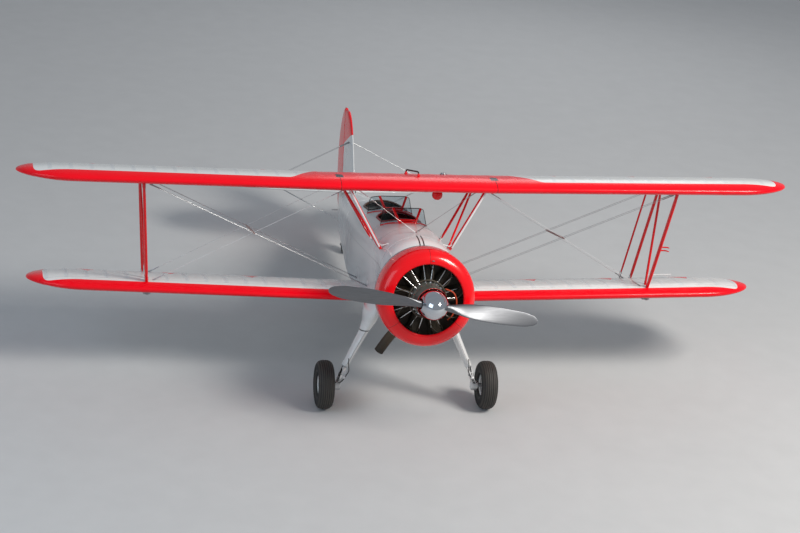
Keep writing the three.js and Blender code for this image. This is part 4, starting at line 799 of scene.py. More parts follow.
# Spinner. A spun metal dome, polished to a mirror, on a red back plate, open round both blade roots. Over an
# angle t its radius goes as sin t and its distance from the tip as 1 - (cos t)^1.15.
SPINNER_BASE, SPINNER_RADIUS, SPINNER_WALL, TIP_WALL = 0.291, 0.191, 0.004, 0.010
PROP_TURN, HUB_Y = math.radians(8), 0.200
turn = np.linspace(0, np.pi / 2, 40)
bulge = np.cos(turn) ** 1.15
dome = np.column_stack([SPINNER_RADIUS * np.sin(turn), SPINNER_BASE * (1 - bulge)])
lining = np.column_stack([(SPINNER_RADIUS - SPINNER_WALL) * np.sin(turn),
                          SPINNER_BASE - (SPINNER_BASE - TIP_WALL) * bulge])
mirror_metal = Finish("mirror_metal", Metallic=1.0)
rings = mirror_metal.noise(60, 2.0, (0.1, 1.5, 0.1))
mirror_metal.set(Base_Color=mirror_metal.mix(rings, tint(214, 218, 224), tint(196, 200, 207)),
                 Roughness=0.07 + rings * 0.05)
faces = [spun(rows, sides=96)[0][:-2].reshape(-1, 96, 3) for rows in (dome, lining[::-1])]
shell = net(np.concatenate(faces), ends=False)
plate_rows = [(0.0703, 0.291), (0.1915, 0.2915), (0.1925, 0.2945), (0.1925, 0.3025), (0.190, 0.305),
              (0.0703, 0.305)]
plate = spun(plate_rows, sides=96, closed=True)
dome_piece = piece("spinner_dome", "propeller", [shell], mirror_metal, slot="polished_metal", sharp=50)
blade_axis = np.array([math.cos(PROP_TURN), 0, -math.sin(PROP_TURN)])
for sense in (1, -1):
    cut_by(dome_piece, rod((0, HUB_Y, 0), blade_axis * sense, 0.066, 0.06, 0.30, 48))
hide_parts("spinner")
piece("spinner_plate", "propeller", [plate], red_enamel, slot="red_paint")

# Propeller. Two forged alloy blades, brushed, clamped in a steel hub. Each section is an ellipse, flatter on
# one face from a sixth of the radius out, turned by the pitch.
PROP_RADIUS = 1.295
# columns: share of the radius, width, depth, pitch in degrees
BLADE = np.array([
    (0.05, 0.084, 0.082, 8), (0.10, 0.086, 0.082, 14), (0.16, 0.094, 0.076, 30), (0.22, 0.132, 0.058, 36),
    (0.30, 0.176, 0.044, 38), (0.50, 0.206, 0.026, 27), (0.75, 0.190, 0.016, 19), (0.92, 0.140, 0.010, 15),
    (0.975, 0.088, 0.007, 14), (0.995, 0.040, 0.005, 14), (1.0, 0.008, 0.003, 14),
])
share = np.concatenate([np.linspace(0.05, 0.9, 60), 1 - 0.1 * np.cos(np.linspace(0, np.pi / 2, 24))[1:]])
width, depth, pitch = np.moveaxis(smooth(BLADE, share), -1, 0)[..., None]
turn = circle(32)[None, :]
flat_back = np.clip((share[:, None] - 0.16) / 0.12, 0, 1)
u = width / 2 * np.cos(turn)
v = depth / 2 * (np.sin(turn) * (1 - 0.35 * flat_back * (np.sin(turn) < 0)))
pitch = np.radians(pitch)
blade = np.stack([share[:, None] * PROP_RADIUS + 0 * u, HUB_Y + u * np.sin(pitch) + v * np.cos(pitch),
                  u * np.cos(pitch) - v * np.sin(pitch)], -1)
swing = np.array([blade_axis, (0, 1, 0), spoke(PROP_TURN)])
half_turn = np.diag([-1.0, 1.0, -1.0])
blades = [net(blade @ swing), net(blade @ half_turn @ swing)]
clamps = [spun([(0, 0.03), (0.050, 0.03), (0.0575, 0.04), (0.0575, 0.10), (0.0615, 0.102), (0.0615, 0.118),
                (0.054, 0.122), (0, 0.122)], (0, HUB_Y, 0), blade_axis * s, 40) for s in (1, -1)]
hub = spun([(0, 0.110), (0.034, 0.111), (0.040, 0.116), (0.050, 0.124), (0.061, 0.134), (0.062, 0.268),
            (0.066, 0.274), (0.0695, 0.276), (0.0695, 0.340), (0.067, 0.343), (0, 0.343)], sides=48)
alloy = Finish("blade_alloy", Metallic=1.0)
brushed = alloy.noise(40, 3.0, (0.2, 1, 3))
alloy.set(Base_Color=alloy.mix(brushed, tint(132, 134, 138), tint(108, 110, 114)),
          Roughness=0.34 + brushed * 0.14)
piece("propeller_blades", "propeller", [blades, [hub, *clamps]], alloy, steel, replaces=["propeller"],
      slot="alloy")

# Engine. A nine-cylinder radial: crankcase and nose case in grey enamel, black finned barrels and heads, two
# rocker boxes and two bright pushrod tubes to each cylinder, and orange ignition leads from a ring.
CYLINDERS, CYLINDER_Y, BASE_BOLTS = 9, 0.745, 12
BARREL, FIN, FIN_PITCH, HEAD, HEAD_FIN, HEAD_PITCH = 0.066, 0.084, 0.0105, 0.070, 0.094, 0.0115
PLUG_OUT, BOX_OUT, BOX_TILT = 0.445, 0.512, 0.42
engine_black = mottled("engine_black", (25, 4), (62, 57, 50), (98, 88, 74), 0.38, 0.3, (12, 3),
                       Metallic=0.15)
engine_grey = mottled("engine_grey", (14, 4), (120, 119, 112), (76, 75, 68), 0.3, 0.25, (22, 3),
                      Metallic=0.55)
bright_steel = mottled("bright_steel", (35, 2), (226, 226, 224), (206, 206, 206), 0.12, 0.1, (20, 2),
                       Metallic=1.0)
orange_lead = mottled("ignition_lead", (60, 3), (214, 78, 30), (178, 56, 22), 0.45)


# an intake pipe's points: distance out, distance round and station
INTAKE = ((0.205, 0.070, 0.850), (0.290, 0.098, 0.862), (0.380, 0.104, 0.850), (0.452, 0.088, 0.820),
          (0.478, 0.062, 0.790))


def through(points, count):
    """A smooth path through points, as so many of its own."""
    table = np.column_stack([np.arange(float(len(points))), points])
    return smooth(table, np.linspace(0, len(points) - 1, count))


def hoop(radius, y, count):
    """Points of a circle about the thrust line at a station."""
    turn = circle(count)
    return np.column_stack([radius * np.sin(turn), np.full(count, y), radius * np.cos(turn)])


def brick(centre, halves, corner=0.3, rows=6, axes=np.eye(3)):
    """A block with round edges: a rounded rectangle, drawn in over both ends like a quarter circle.

    axes are its width, length and height directions; corner is the rounding as a share of the smallest half.
    """
    r = corner * min(halves)
    turn = np.linspace(0, np.pi / 2, rows)
    inset, lift = r * (1 - np.sin(turn)), r * (1 - np.cos(turn))
    levels = [*zip(inset, -halves[2] + lift), *zip(inset[::-1], (halves[2] - lift)[::-1])]
    rings = [np.column_stack([rounded(halves[0] - i, halves[1] - i, max(r - i, 1e-5), 5), np.full(20, z)])
             for i, z in levels]
    return net(np.asarray(centre) + np.stack(rings) @ np.asarray(axes, float))


finned = [(0, 0.200), (0.074, 0.200), (0.080, 0.206), (0.080, 0.214), (BARREL, 0.216)]
for r in np.arange(0.222, 0.408, FIN_PITCH):
    finned += [(BARREL, r), (FIN - 0.0005, r + 0.0018), (FIN, r + 0.0026), (FIN - 0.0005, r + 0.0034)]
    finned += [(BARREL, r + 0.0052)]
head_fins = np.arange(0.412, 0.500, HEAD_PITCH)
for i, r in enumerate(head_fins):
    reach = HEAD_FIN - 0.018 * (i / len(head_fins)) ** 2
    finned += [(HEAD, r), (reach, r + 0.0018), (reach, r + 0.0042), (HEAD, r + 0.0062)]
finned += [(0.062, 0.508), (0.050, 0.520), (0.030, 0.526), (0, 0.527)]
flange = [(0.0, 0.186), (0.088, 0.188), (0.092, 0.192), (0.092, 0.200), (0.088, 0.203), (0, 0.203)]
base_bolt = [(0, 0.214), (0.004, 0.213), (0.005, 0.209), (0.005, 0.201), (0, 0.201)]
plug_rows = [(0, 0.002), (0.009, 0.002), (0.009, -0.016), (0.006, -0.020), (0.006, -0.034), (0, -0.034)]
black, grey, bright = [], [], []
back, centre = np.array([0, 1.0, 0]), np.array([0, CYLINDER_Y, 0])
for angle in circle(CYLINDERS):
    out = spoke(angle)
    tangent = np.array([math.cos(angle), 0, -math.sin(angle)])
    black.append(spun(finned, centre, out, 36))
    grey.append(spun(flange, centre, out, 36))
    for a in circle(BASE_BOLTS):
        spot = centre + 0.084 * (math.cos(a) * tangent + math.sin(a) * back)
        bright.append(spun(base_bolt, spot, out, 6))
    for s in (-1, 1):
        box = centre + out * BOX_OUT + tangent * (0.062 * s) - back * 0.018
        lean = out * math.cos(BOX_TILT) + tangent * (s * math.sin(BOX_TILT))
        beside = np.cross(back, lean)
        black.append(brick(box, (0.030, 0.062, 0.028), 0.6, axes=[beside, back, lean]))
        grey.append(brick(box + lean * 0.027, (0.031, 0.064, 0.005), 0.5, axes=[beside, back, lean]))
        foot = out * 0.190 + tangent * (0.030 * s) + (0, 0.618, 0)
        top = box + beside * (s * 0.018) - back * 0.052 - lean * 0.016
        path = foot + (top - foot) * np.linspace(0, 1, 5)[:, None]
        bright.append(tube(path, [0.0085, 0.0070, 0.0070, 0.0070, 0.0085], 14))
        for at, r, kit in ((0.01, 0.0145, bright), (0.94, 0.0150, black)):
            spot = foot + (top - foot) * at
            kit.append(tube(np.stack([spot, spot + (top - foot) * 0.05]), r, 12))
        plug = centre + out * PLUG_OUT - back * (0.088 * s)
        bright.append(spun(plug_rows, plug, back * s, 10))
    start = out * 0.232 + tangent * 0.045 + (0, 0.606, 0)
    end = out * PLUG_OUT - back * 0.125 + centre
    bend = np.linspace(0, 1, 14)[:, None]
    sway = start * (1 - bend) + end * bend + np.sin(bend * np.pi) * (tangent * 0.030 - back * 0.022)
    black.append(tube(sway, 0.0048, 8))
    pipe = np.stack([out * r + tangent * t + (0, y, 0) for r, t, y in INTAKE])
    black.append(tube(through(pipe, 18), 0.021, 14))
case_rows = np.array([
    (0, 0.3435), (0.060, 0.3435), (0.060, 0.352), (0.0295, 0.353), (0.0295, 0.420), (0.066, 0.422),
    (0.080, 0.430), (0.092, 0.448), (0.118, 0.470), (0.150, 0.500), (0.170, 0.540), (0.178, 0.552),
    (0.196, 0.554), (0.200, 0.558), (0.200, 0.572), (0.196, 0.577), (0.182, 0.579), (0.196, 0.600),
    (0.222, 0.630), (0.230, 0.650), (0.232, 0.672), (0.232, 0.840), (0.226, 0.852), (0.192, 0.862),
    (0.190, 0.928), (0, 0.928),
])
grey.append(spun(case_rows, sides=72))
for count, r, y, size in ((18, 0.191, 0.553, 0.0085), (24, 0.212, 0.6155, 0.0075),
                          (9, 0.104, 0.4575, 0.0085)):
    for k in range(count):
        a = 2 * np.pi * (k + 0.5) / count
        bolt = [(0, 0.006), (size * 0.8, 0.006), (size, 0.0045), (size, -0.012), (0, -0.012)]
        bright.append(spun(bolt, spoke(a) * r + (0, y, 0), (0, -1, 0), 6))
black.append(tube(hoop(0.232, 0.606, 96), 0.0085, 12, along=True))
black.append(spun([(0.234, 0.800), (0.515, 0.800), (0.515, 0.803), (0.234, 0.803)], sides=96, closed=True))
hose = np.array([(0.217, 0.615, 0.125), (0.322, 0.598, 0.076), (0.361, 0.594, -0.047),
                 (0.318, 0.598, -0.192), (0.270, 0.640, -0.262)])
leads = [tube(through(hose, 40), 0.0085, 12)]
for angle in circle(CYLINDERS):
    out = spoke(angle)
    bright.append(tube(np.stack([out * 0.520, out * 0.5865]) + (0, CYLINDER_Y, 0), 0.013, 12))
piece("radial_engine", "airframe", [black, grey, bright, leads], engine_black, engine_grey, bright_steel,
      orange_lead, replaces=["engine"], slot="engine_metal")

# Exhaust. A collector ring of welded steel behind the cylinders, nine stubs, and a tail pipe that leaves the
# nose low on the starboard side; heat has browned it.
RING_RADIUS, RING_TUBE, RING_Y, PIPE, PIPE_WALL = 0.400, 0.034, 0.884, 0.060, 0.003
PIPE_BENDS = np.array([(-0.195, 0.884, -0.350), (-0.250, 1.075, -0.455), (-0.345, 1.150, -0.600),
                       (-0.450, 1.215, -0.790)])
sooty = Finish("sooty_steel", Metallic=0.85)
heat = sooty.ease(sooty.level()[2] + sooty.noise(5, 4.0) * 0.3, -0.75, -0.30)
sooty.set(Base_Color=sooty.mix(heat, tint(58, 56, 52), tint(96, 84, 70)),
          Roughness=0.42 + sooty.noise(20, 4.0) * 0.3)
sooty.bump(sooty.noise(50, 4.0), 0.001, 0.4)


def along_path(points):
    """How far along a path each of its points lies."""
    return np.concatenate([[0], np.cumsum(np.linalg.norm(np.diff(points, axis=0), axis=1))])


def bent(points, reach, count=60):
    """A path through corner points, each corner rounded to a parabola between two points near it."""
    points = np.asarray(points, float)
    runs = [points[:1]]
    for a, b, c in zip(points[:-2], points[1:-1], points[2:]):
        t = np.linspace(0, 1, 12)[:, None]
        start = b + (a - b) * min(0.5, reach / np.linalg.norm(a - b))
        end = b + (c - b) * min(0.5, reach / np.linalg.norm(c - b))
        runs.append(start * (1 - t) ** 2 + 2 * b * t * (1 - t) + end * t**2)
    whole = np.concatenate([*runs, points[-1:]])
    far = along_path(whole)
    even = np.linspace(0, far[-1], count)
    return np.stack([np.interp(even, far, whole[:, i]) for i in range(3)], -1)


collector = tube(hoop(RING_RADIUS, RING_Y, 120), RING_TUBE, 20, along=True)
path = bent(PIPE_BENDS, 0.10)
flare = np.interp(np.linspace(0, 1, len(path)), [0, 0.1, 1], [0.046, PIPE, PIPE])
outside = tube(path, flare, 28, ends=False)[0].reshape(len(path), 28, 3)
inside_wall = tube(path[-12:], PIPE - PIPE_WALL, 28, ends=False)[0].reshape(12, 28, 3)[::-1]
pipe = net(np.concatenate([outside, inside_wall]))
stubs = []
for angle in circle(CYLINDERS):
    out = spoke(angle)
    corners = [out * r + (0, y, 0) for r, y in ((RING_RADIUS, RING_Y), (0.43, 0.85), (0.45, 0.80))]
    stubs.append(tube(bent(corners, 0.03, 12), 0.026, 16))
    stubs.append(tube(np.stack([out * 0.438, out * 0.446]) + [(0, 0.834, 0), (0, 0.812, 0)], 0.033, 16))
piece("exhaust_pipes", "airframe", [collector, pipe, *stubs], sooty, replaces=["exhaust"],
      slot="sooty_steel")

# Struts. Streamlined steel tubes, glossy red, in an N on each side between the wings and in another on each
# side of the deck. Each tapers into a steel cuff, bolted to a fitting on its spar.
STRUT_X = {"lower": 3.256, "upper": 3.382, "cabane": 0.890}
CABANE_FEET = {"front": (0.400, 1.492, 0.380), "rear": (0.404, 2.094, 0.385)}
CABANE_SUNK, CUFF = 0.074, 0.062


def faired(a, b, width, thick, taper=0.25, rows=22, sides=32):
    """A streamlined bar from a to b, half as thick as v = ½√(1 - ((u + .18) / .32)²) ahead of its thickest
    place and v = ½(1 - ((u + .18) / .68)²) behind it, u running from -½ to ½ along its width. The taper
    narrows both ends over 0.16 m.
    """
    a, b = np.asarray(a, float), np.asarray(b, float)
    length = np.linalg.norm(b - a)
    run = unit(b - a)
    back = np.array([0, 1.0, 0]) if abs(run[1]) < 0.9 else np.array([0, 0, 1.0])
    back = unit(back - run * (back @ run))
    beside = np.cross(run, back)
    t = np.linspace(0, 1, rows)[:, None, None]
    full = 1 - taper * (1 - np.clip(np.minimum(t, 1 - t) * length / 0.16, 0, 1)) ** 2
    turn = circle(sides)
    u = np.cos(turn) / 2
    ahead, behind = np.sqrt(np.clip(1 - ((u + 0.18) / 0.32) ** 2, 0, 1)), 1 - ((u + 0.18) / 0.68) ** 2
    v = np.where(u < -0.18, ahead, behind) / 2 * np.sign(np.sin(turn) + 1e-12)
    ring = u[:, None] * width * back + v[:, None] * thick * beside
    return net(a + run * t * length + ring * full)


def spar_point(wing, x, spar):
    """A point on the middle of the section, over a spar."""
    return wing_at(wing, x, SPARS[spar], 0, 0)


def strut_between(a, b, low, high, width, thick):
    """The bar, its two cuffs and their bolts, from a height low above a to a height high below b."""
    run = unit(b - a)
    foot, head = a + run * (low / run[2]), b - run * (high / run[2])
    cuffs, bolts = [], []
    for end, way in ((foot, run), (head, -run)):
        cuffs.append(faired(end - way * 0.010, end + way * CUFF, width * 0.72, thick * 1.02, 0))
        for d in (0.018, 0.045):
            half = thick * 0.45 + 0.005
            bolts.append(rod(end + way * d, (1, 0, 0), 0.007, -half, half, 10))
    return [faired(foot + run * 0.024, head - run * 0.024, width, thick)], cuffs, bolts


strut_red = mottled("strut_red", (3, 4), (240, 0, 18), (206, 0, 14), 0.2, 0.12, (6, 2),
                    Coat_Weight=0.4, Coat_Roughness=0.04, Specular_IOR_Level=0.3)
strut_red.bump(strut_red.noise(80, 2.0) * 0.15, 0.0008, 0.4)
white_enamel = mottled("white_enamel", (12, 4), (236, 236, 234), (204, 206, 208), 0.22, 0.15, (20, 2),
                       Coat_Weight=0.8, Coat_Roughness=0.05)
inner_depth = {spar: thickness(SPARS[spar]) * CHORD for spar in SPARS}
wing_feet = {spar: spar_point(LOWER, STRUT_X["lower"], spar) for spar in SPARS}
wing_heads = {spar: spar_point(UPPER, STRUT_X["upper"], spar) for spar in SPARS}
cabane_feet = {spar: np.array(CABANE_FEET[spar]) for spar in SPARS}
cabane_heads = {spar: spar_point(UPPER, STRUT_X["cabane"], spar) for spar in SPARS}
# columns: set, feet, heads, depth of the feet, sizes of the three struts, shifts of the diagonal's two ends
STRUT_SETS = (
    ("wing", wing_feet, wing_heads, inner_depth, ((0.096, 0.038), (0.084, 0.034), (0.062, 0.030)),
     (0.062, -0.058)),
    ("cabane", cabane_feet, cabane_heads, {"front": CABANE_SUNK, "rear": CABANE_SUNK},
     ((0.084, 0.034), (0.072, 0.030), (0.050, 0.026)), (0.050, -0.050)),
)
for kind, feet, heads, sunk, sizes, shift in STRUT_SETS:
    low, high = feet["front"] + (0, shift[0], 0), heads["rear"] + (0, shift[1], 0)
    bars = {spar: strut_between(feet[spar], heads[spar], sunk[spar], inner_depth[spar], *size)
            for spar, size in zip(SPARS, sizes)}
    bars["diagonal"] = strut_between(low, high, sunk["front"], inner_depth["rear"] - 0.002, *sizes[2])
    # a white strip along the front edge of each front cabane strut is a painted highlight where the sun
    # catches it
    if kind == "cabane":
        a, b = feet["front"], heads["front"]
        edge = a + (0.007, -sizes[0][0] * 0.47, sizes[0][0] * 0.02)
        bars["front"][1].append(faired(edge + (b - a) * 0.11, edge + (b - a) * 0.94, 0.022, 0.023, 0.2))
    for place, (bar, cuffs, bolts) in bars.items():
        red_cuffs = 0 if place == "rear" else 2
        groups = [(bar + cuffs[:red_cuffs], strut_red), (cuffs[red_cuffs:], white_enamel), (bolts, steel)]
        forms, finishes = zip(*(g for g in groups if g[0]))
        pair(f"{kind}_strut_tube_{place}", forms, *finishes,
             replaces=f"{kind}_strut_{place}", slot="red_paint")

# Pitot and gauge. Two small red tubes are clipped to the port front strut; a white rod gauge stands on two
# feet on the lower wing beside the strut's foot.
front_run = wing_heads["front"] - wing_feet["front"]
pitot = []
for share, long in ((0.410, 0.05), (0.442, 0.03)):
    root = wing_feet["front"] + front_run * share
    pitot.append(tube([root, root + (0.075, -0.01, 0.0), root + (0.098, -0.03, 0),
                       root + (0.103, -0.03 - long, 0)],
                      [0.009, 0.009, 0.0085, 0.0070], 12))
piece("pitot_tubes", "airframe", pitot, strut_red, slot="red_paint")
rod_path = wing_at(LOWER, np.linspace(3.46, 3.79, 8), 0.50, 1, 0) + (0, 0, 0.045)
rod_feet = [tube([rod_path[i] - (0, 0, 0.049), rod_path[i]], 0.005, 10) for i in (1, 6)]
piece("float_gauge", "airframe", [tube(rod_path, 0.011, 12), *rod_feet], white_enamel, slot="white_paint")

# Tie-down pads. A flat steel block, bolted under each lower wing at the front strut, with a folding ring
# beside it.
PAD_HALF, PAD_DEEP = 0.045, 0.016
under = wing_at(LOWER, STRUT_X["lower"], SPARS["front"], 0, 0) - (0, 0, inner_depth["front"] + PAD_DEEP)
pad = brick(under + (0, 0, 0.024), (PAD_HALF, PAD_HALF, 0.024), 0.12, 4)
turns = circle(24)
ring_at = under + (0, -0.062, 0.004)
ring_path = ring_at + np.column_stack([0.016 * np.cos(turns), 0.018 * np.sin(turns), 0 * turns])
ring = tube(ring_path, 0.0035, 8, along=True)
pair("tie_down_pad", [pad, ring], steel, slot="steel")

# Aileron links. A red streamlined tube with a steel fork at each end, pinned to a horn on each aileron; it
# hangs on the lower aileron's horn.
LINK_X, LINK_UPPER_X, HORN_AFT, HORN_REACH, LINK_SIZE = 3.225, 3.352, 0.070, 0.033, (0.044, 0.024)
low_horn = wing_at(LOWER, LINK_X, HINGE + HORN_AFT / CHORD, 0, 0)
horn_depth = thickness(HINGE + HORN_AFT / CHORD) * CHORD
low_eye = low_horn + (0, 0, horn_depth + HORN_REACH)
hinge_span = wing_at(UPPER, LINK_UPPER_X, HINGE, 0, 0) - wing_at(LOWER, LINK_X, HINGE, 0, 0)
high_eye = low_eye + hinge_span * (1 - 2 * (horn_depth + HORN_REACH) / hinge_span[2])
link_run = unit(high_eye - low_eye)
link_axes = [np.array([1.0, 0, 0]), np.cross(link_run, (1, 0, 0)), link_run]
forks = []
for eye, way in ((low_eye, 1), (high_eye, -1)):
    for beside in (-0.0105, 0.0105):
        cheek = eye + link_run * (way * 0.022) + (beside, 0, 0)
        forks.append(brick(cheek, (0.0025, 0.017, 0.040), 0.6, 4, axes=link_axes))
    forks.append(brick(eye + link_run * (way * 0.066), (0.0130, 0.014, 0.012), 0.4, 4, axes=link_axes))
link_bar = faired(low_eye + link_run * 0.066, high_eye - link_run * 0.066, *LINK_SIZE)
for side, turn in SIDES:
    piece(f"aileron_link_tube_{side}", f"aileron_link_{side}", [[turn(link_bar)], [turn(f) for f in forks]],
          strut_red, white_enamel, replaces=[f"aileron_link_{side}"], slot="red_paint")
    for name, eye, reach in (("lower", low_eye, -1), ("upper", high_eye, 1)):
        length = HORN_REACH + 0.012
        plate = brick(eye + (0, 0, reach * length / 2), (0.0045, 0.014, length / 2 + 0.010), 0.9, 5)
        disc = rod(eye, (1, 0, 0), 0.015, -0.0045, 0.0045, 20)
        pin = rod(eye, (1, 0, 0), 0.005, -0.018, 0.018, 12)
        piece(f"{name}_aileron_horn_{side}", f"{name}_aileron_{side}", [turn(f) for f in (plate, disc, pin)],
              steel, slot="steel")

# Stays. Streamlined steel rods: on each side a doubled flying wire and a landing wire at each spar, tied by
# a wooden rod where they cross, and two crossed wires between the front cabane struts. The landing wires and
# one cabane wire are painted white as a painted highlight, for the glint they catch.
WIRE, PAIR_APART, ROD_REACH = (0.0095, 0.0040), 0.060, 0.090
FLY_LOW_X, LAND_HIGH_X, WIRE_INBOARD, WIRE_LIFT = 0.440, 0.940, 0.075, 0.030
wires, ends, crossings = [], [], []


def stay(a, b, apart=0.0):
    """A wire, or two side by side, with a tapered fork end at both ends."""
    for shift in ((-apart / 2, apart / 2) if apart else (0,)):
        start, stop = a + (0, shift, 0), b + (0, shift, 0)
        wires.append(faired(start, stop, *WIRE, 0.0, 6, 12))
        run = unit(stop - start)
        for end, way in ((start, run), (stop, -run)):
            reach = np.array([0, 0.03, 0.05, 0.13, 0.16])[:, None]
            ends.append(tube(end + way * reach, [0.009, 0.009, 0.0062, 0.0062, 0.0045], 10))


for spar in SPARS.values():
    fly_low = wing_at(LOWER, FLY_LOW_X, spar, 1, 0) + (0, 0, WIRE_LIFT)
    fly_high = wing_at(UPPER, STRUT_X["upper"] - WIRE_INBOARD, spar, -1, 0)
    land_high = wing_at(UPPER, LAND_HIGH_X, spar, -1, 0)
    land_low = wing_at(LOWER, STRUT_X["lower"] - WIRE_INBOARD, spar, 1, 0)
    stay(fly_low, fly_high, PAIR_APART)
    stay(land_high, land_low)
    # where the two cross, seen from ahead
    slopes = np.array([(fly_high - fly_low)[[0, 2]], -(land_low - land_high)[[0, 2]]]).T
    t, s = np.linalg.solve(slopes, (land_high - fly_low)[[0, 2]])
    crossings.append((fly_low + (fly_high - fly_low) * t + land_high + (land_low - land_high) * s) / 2)
front, rear = crossings
between = [front + (rear - front) * share for share in (0.25, 0.5, 0.75)]
javelin = tube([front - (0, ROD_REACH, 0), front, *between, rear, rear + (0, ROD_REACH, 0)],
               [0.004, 0.012, 0.013, 0.013, 0.013, 0.012, 0.004], 16)
rod_wood = Finish("varnished_rod", Coat_Weight=0.6)
stripe = rod_wood.noise(60, 4.0, (3, 0.2, 3))
rod_wood.set(Base_Color=rod_wood.mix(stripe, tint(150, 62, 34), tint(96, 34, 22)),
             Roughness=0.3 + stripe * 0.2)
# the landing wires are painted white as a painted highlight, for the glint they catch from either side
flying, landing = [*wires[0::3], *wires[1::3], *ends], wires[2::3]
pair("stay_wires", [flying, [javelin], landing], steel, rod_wood, white_enamel,
     replaces="wing_stays", slot="steel")
deck_eye = np.array([0.012, 1.500, 0.662])
roll_high = cabane_feet["front"] + (cabane_heads["front"] - cabane_feet["front"]) * 0.93
# the wire to the starboard strut is painted white as a painted glint; its twin to port stays plain steel
for name, sense, finish in (("bright", -1, white_enamel), ("steel", 1, steel)):
    wires, ends = [], []
    stay(deck_eye * (sense, 1, 1), roll_high * (sense, 1, 1) - (0.10 * sense, 0, 0))
    piece(f"cabane_wire_{name}", "airframe", [*wires, *ends], finish, slot="steel")

# Main legs. A cantilever leg under a smooth sheet fairing that spreads into the belly and the wing root.
# Each section is an ellipse, a little longer behind the leg's middle line; black bands close its joints.
LEG_TOP, LEG_END = np.array([0.470, 1.590, -0.395]), np.array([0.785, 1.612, -1.045])
AXLE_IN, WHEEL_AT = np.array([0.888, 1.638, -1.325]), np.array([1.045, 1.638, -1.325])
BAND_Z = -0.600
# columns: share along the leg, push outboard, width fore and aft, thickness
LEG_ROWS = np.array([
    (-0.42, 0.060, 0.560, 0.040), (-0.20, 0.058, 0.600, 0.190), (0.00, 0.030, 0.540, 0.200),
    (0.14, 0.004, 0.400, 0.170), (0.30, 0.000, 0.280, 0.132), (0.60, 0.000, 0.215, 0.108),
    (1.00, 0.0, 0.175, 0.092),
])
share = np.linspace(-0.42, 1, 90)
push, wide, thick = np.moveaxis(smooth(LEG_ROWS, share), -1, 0)[..., None]
turn = circle(48)[None, :]
middle = LEG_TOP + (LEG_END - LEG_TOP) * share[:, None]
lean = np.where(np.cos(turn) > 0, 0.56, 0.44)
leg = np.stack([middle[:, :1] + push + thick / 2 * np.sin(turn), middle[:, 1:2] + wide * lean * np.cos(turn),
                middle[:, 2:] + 0 * turn], -1)
leg_paint = Finish("leg_paint", Coat_Weight=0.7, Coat_Roughness=0.05)
X, Y, Z = leg_paint.level()
bands = leg_paint.line(Z, BAND_Z, 0.0045)
seam = leg_paint.line(abs(X) - (Z * -0.485 + 0.279), 0, 0.0010) * leg_paint.ease(BAND_Z - Z, 0, 0.01)
bands = (bands + seam).by("MINIMUM", 1)
splash = leg_paint.ease(leg_paint.noise(9, 5.0) - 0.25 + (Z + 1.0) * -0.5, 0.30, 0.75)
splashed = leg_paint.mix(splash * 0.3, tint(226, 227, 226), tint(186, 184, 178))
leg_paint.set(
    Base_Color=leg_paint.mix(bands, splashed, tint(26, 27, 32)),
    Roughness=0.2 + splash * 0.25 + bands * 0.3,
)
leg_paint.bump(leg_paint.noise(60, 2.0) * 0.2 - bands, 0.0012, 0.5)
pair("leg_fairing", [net(leg)], leg_paint, replaces="gear_leg", slot="white_paint", sharp=50)

# Sliding tubes. A chromed tube in a white socket, a white knuckle with the axle and a jacking pad, two white
# torque links ahead of it, and the steel brake pipe bent down beside them.
ELBOW = AXLE_IN + (-0.060, -0.150, 0.130)
down, slide = unit(LEG_END - LEG_TOP), AXLE_IN - LEG_END
chrome_parts = [tube(LEG_END + slide * np.linspace(0.06, 0.97, 6)[:, None], 0.030, 28)]
white_parts = [
    spun([(0, -0.030), (0.040, -0.030), (0.0455, -0.024), (0.0455, 0.026), (0.041, 0.030), (0.034, 0.034),
          (0.034, 0.040), (0, 0.040)], LEG_END, down, 36),
    spun([(0, -0.048), (0.040, -0.048), (0.050, -0.042), (0.0515, -0.030), (0.0515, 0.028), (0.048, 0.040),
          (0.036, 0.044), (0, 0.044)], AXLE_IN, (1, 0, 0), 40),
    spun([(0, -0.020), (0.0145, -0.018), (0.0185, -0.010), (0.0185, 0.010), (0.0145, 0.018), (0, 0.020)],
         ELBOW, (1, 0, 0), 24),
]
axle = [(0, 0.0), (0.025, 0.0), (0.025, 0.214), (0.020, 0.219), (0, 0.219)]
steel_parts = [spun(axle, AXLE_IN, (1, 0, 0), 28),
               brick(AXLE_IN + (-0.005, 0, -0.043), (0.035, 0.030, 0.023), 0.35, 5)]
collar_at = LEG_END + down * 0.034
for a, b in ((collar_at + (0, -0.035, -0.010), ELBOW), (ELBOW, AXLE_IN + (0, -0.030, 0.010))):
    for beside in (-1, 1):
        width = np.array([0.026 * beside, 0, 0])
        start, stop = (a + width, b + width * 0.25) if b is ELBOW else (a + width * 0.25, b + width)
        white_parts.append(faired(start, stop, 0.022, 0.014, 0.0, 8, 16))
    between = (a + b) / 2
    white_parts.append(tube(between + np.array([[-0.022, 0, 0], [0.022, 0, 0]]), 0.0065, 10))
for d, r in ((0.50, 0.036), (0.12, 0.038)):
    steel_parts.append(rod(LEG_END + slide * d, slide, r, -0.006, 0.006, 28))
brake_pipe = tube(through(np.array([
    (0.770, 1.515, -0.960), (0.772, 1.490, -1.030), (0.770, 1.470, -1.110), (0.808, 1.490, -1.190),
    (0.850, 1.520, -1.260), (0.900, 1.590, -1.290), (0.935, 1.600, -1.240),
]), 40), 0.0055, 10)
dark_pipe = mottled("brake_pipe_coat", (50, 3), (30, 30, 32), (52, 50, 48), 0.5)
chrome = Finish("chromed_tube", Metallic=1.0)
oil = chrome.noise(14, 4.0, (1, 1, 0.3))
chrome.set(Base_Color=chrome.mix(oil, tint(232, 233, 235), tint(190, 188, 184)), Roughness=0.08 + oil * 0.16)
pair("sliding_tube", [chrome_parts, white_parts, steel_parts, [brake_pipe]], chrome, white_enamel,
     steel, dark_pipe, replaces="gear_piston", slot="polished_metal")

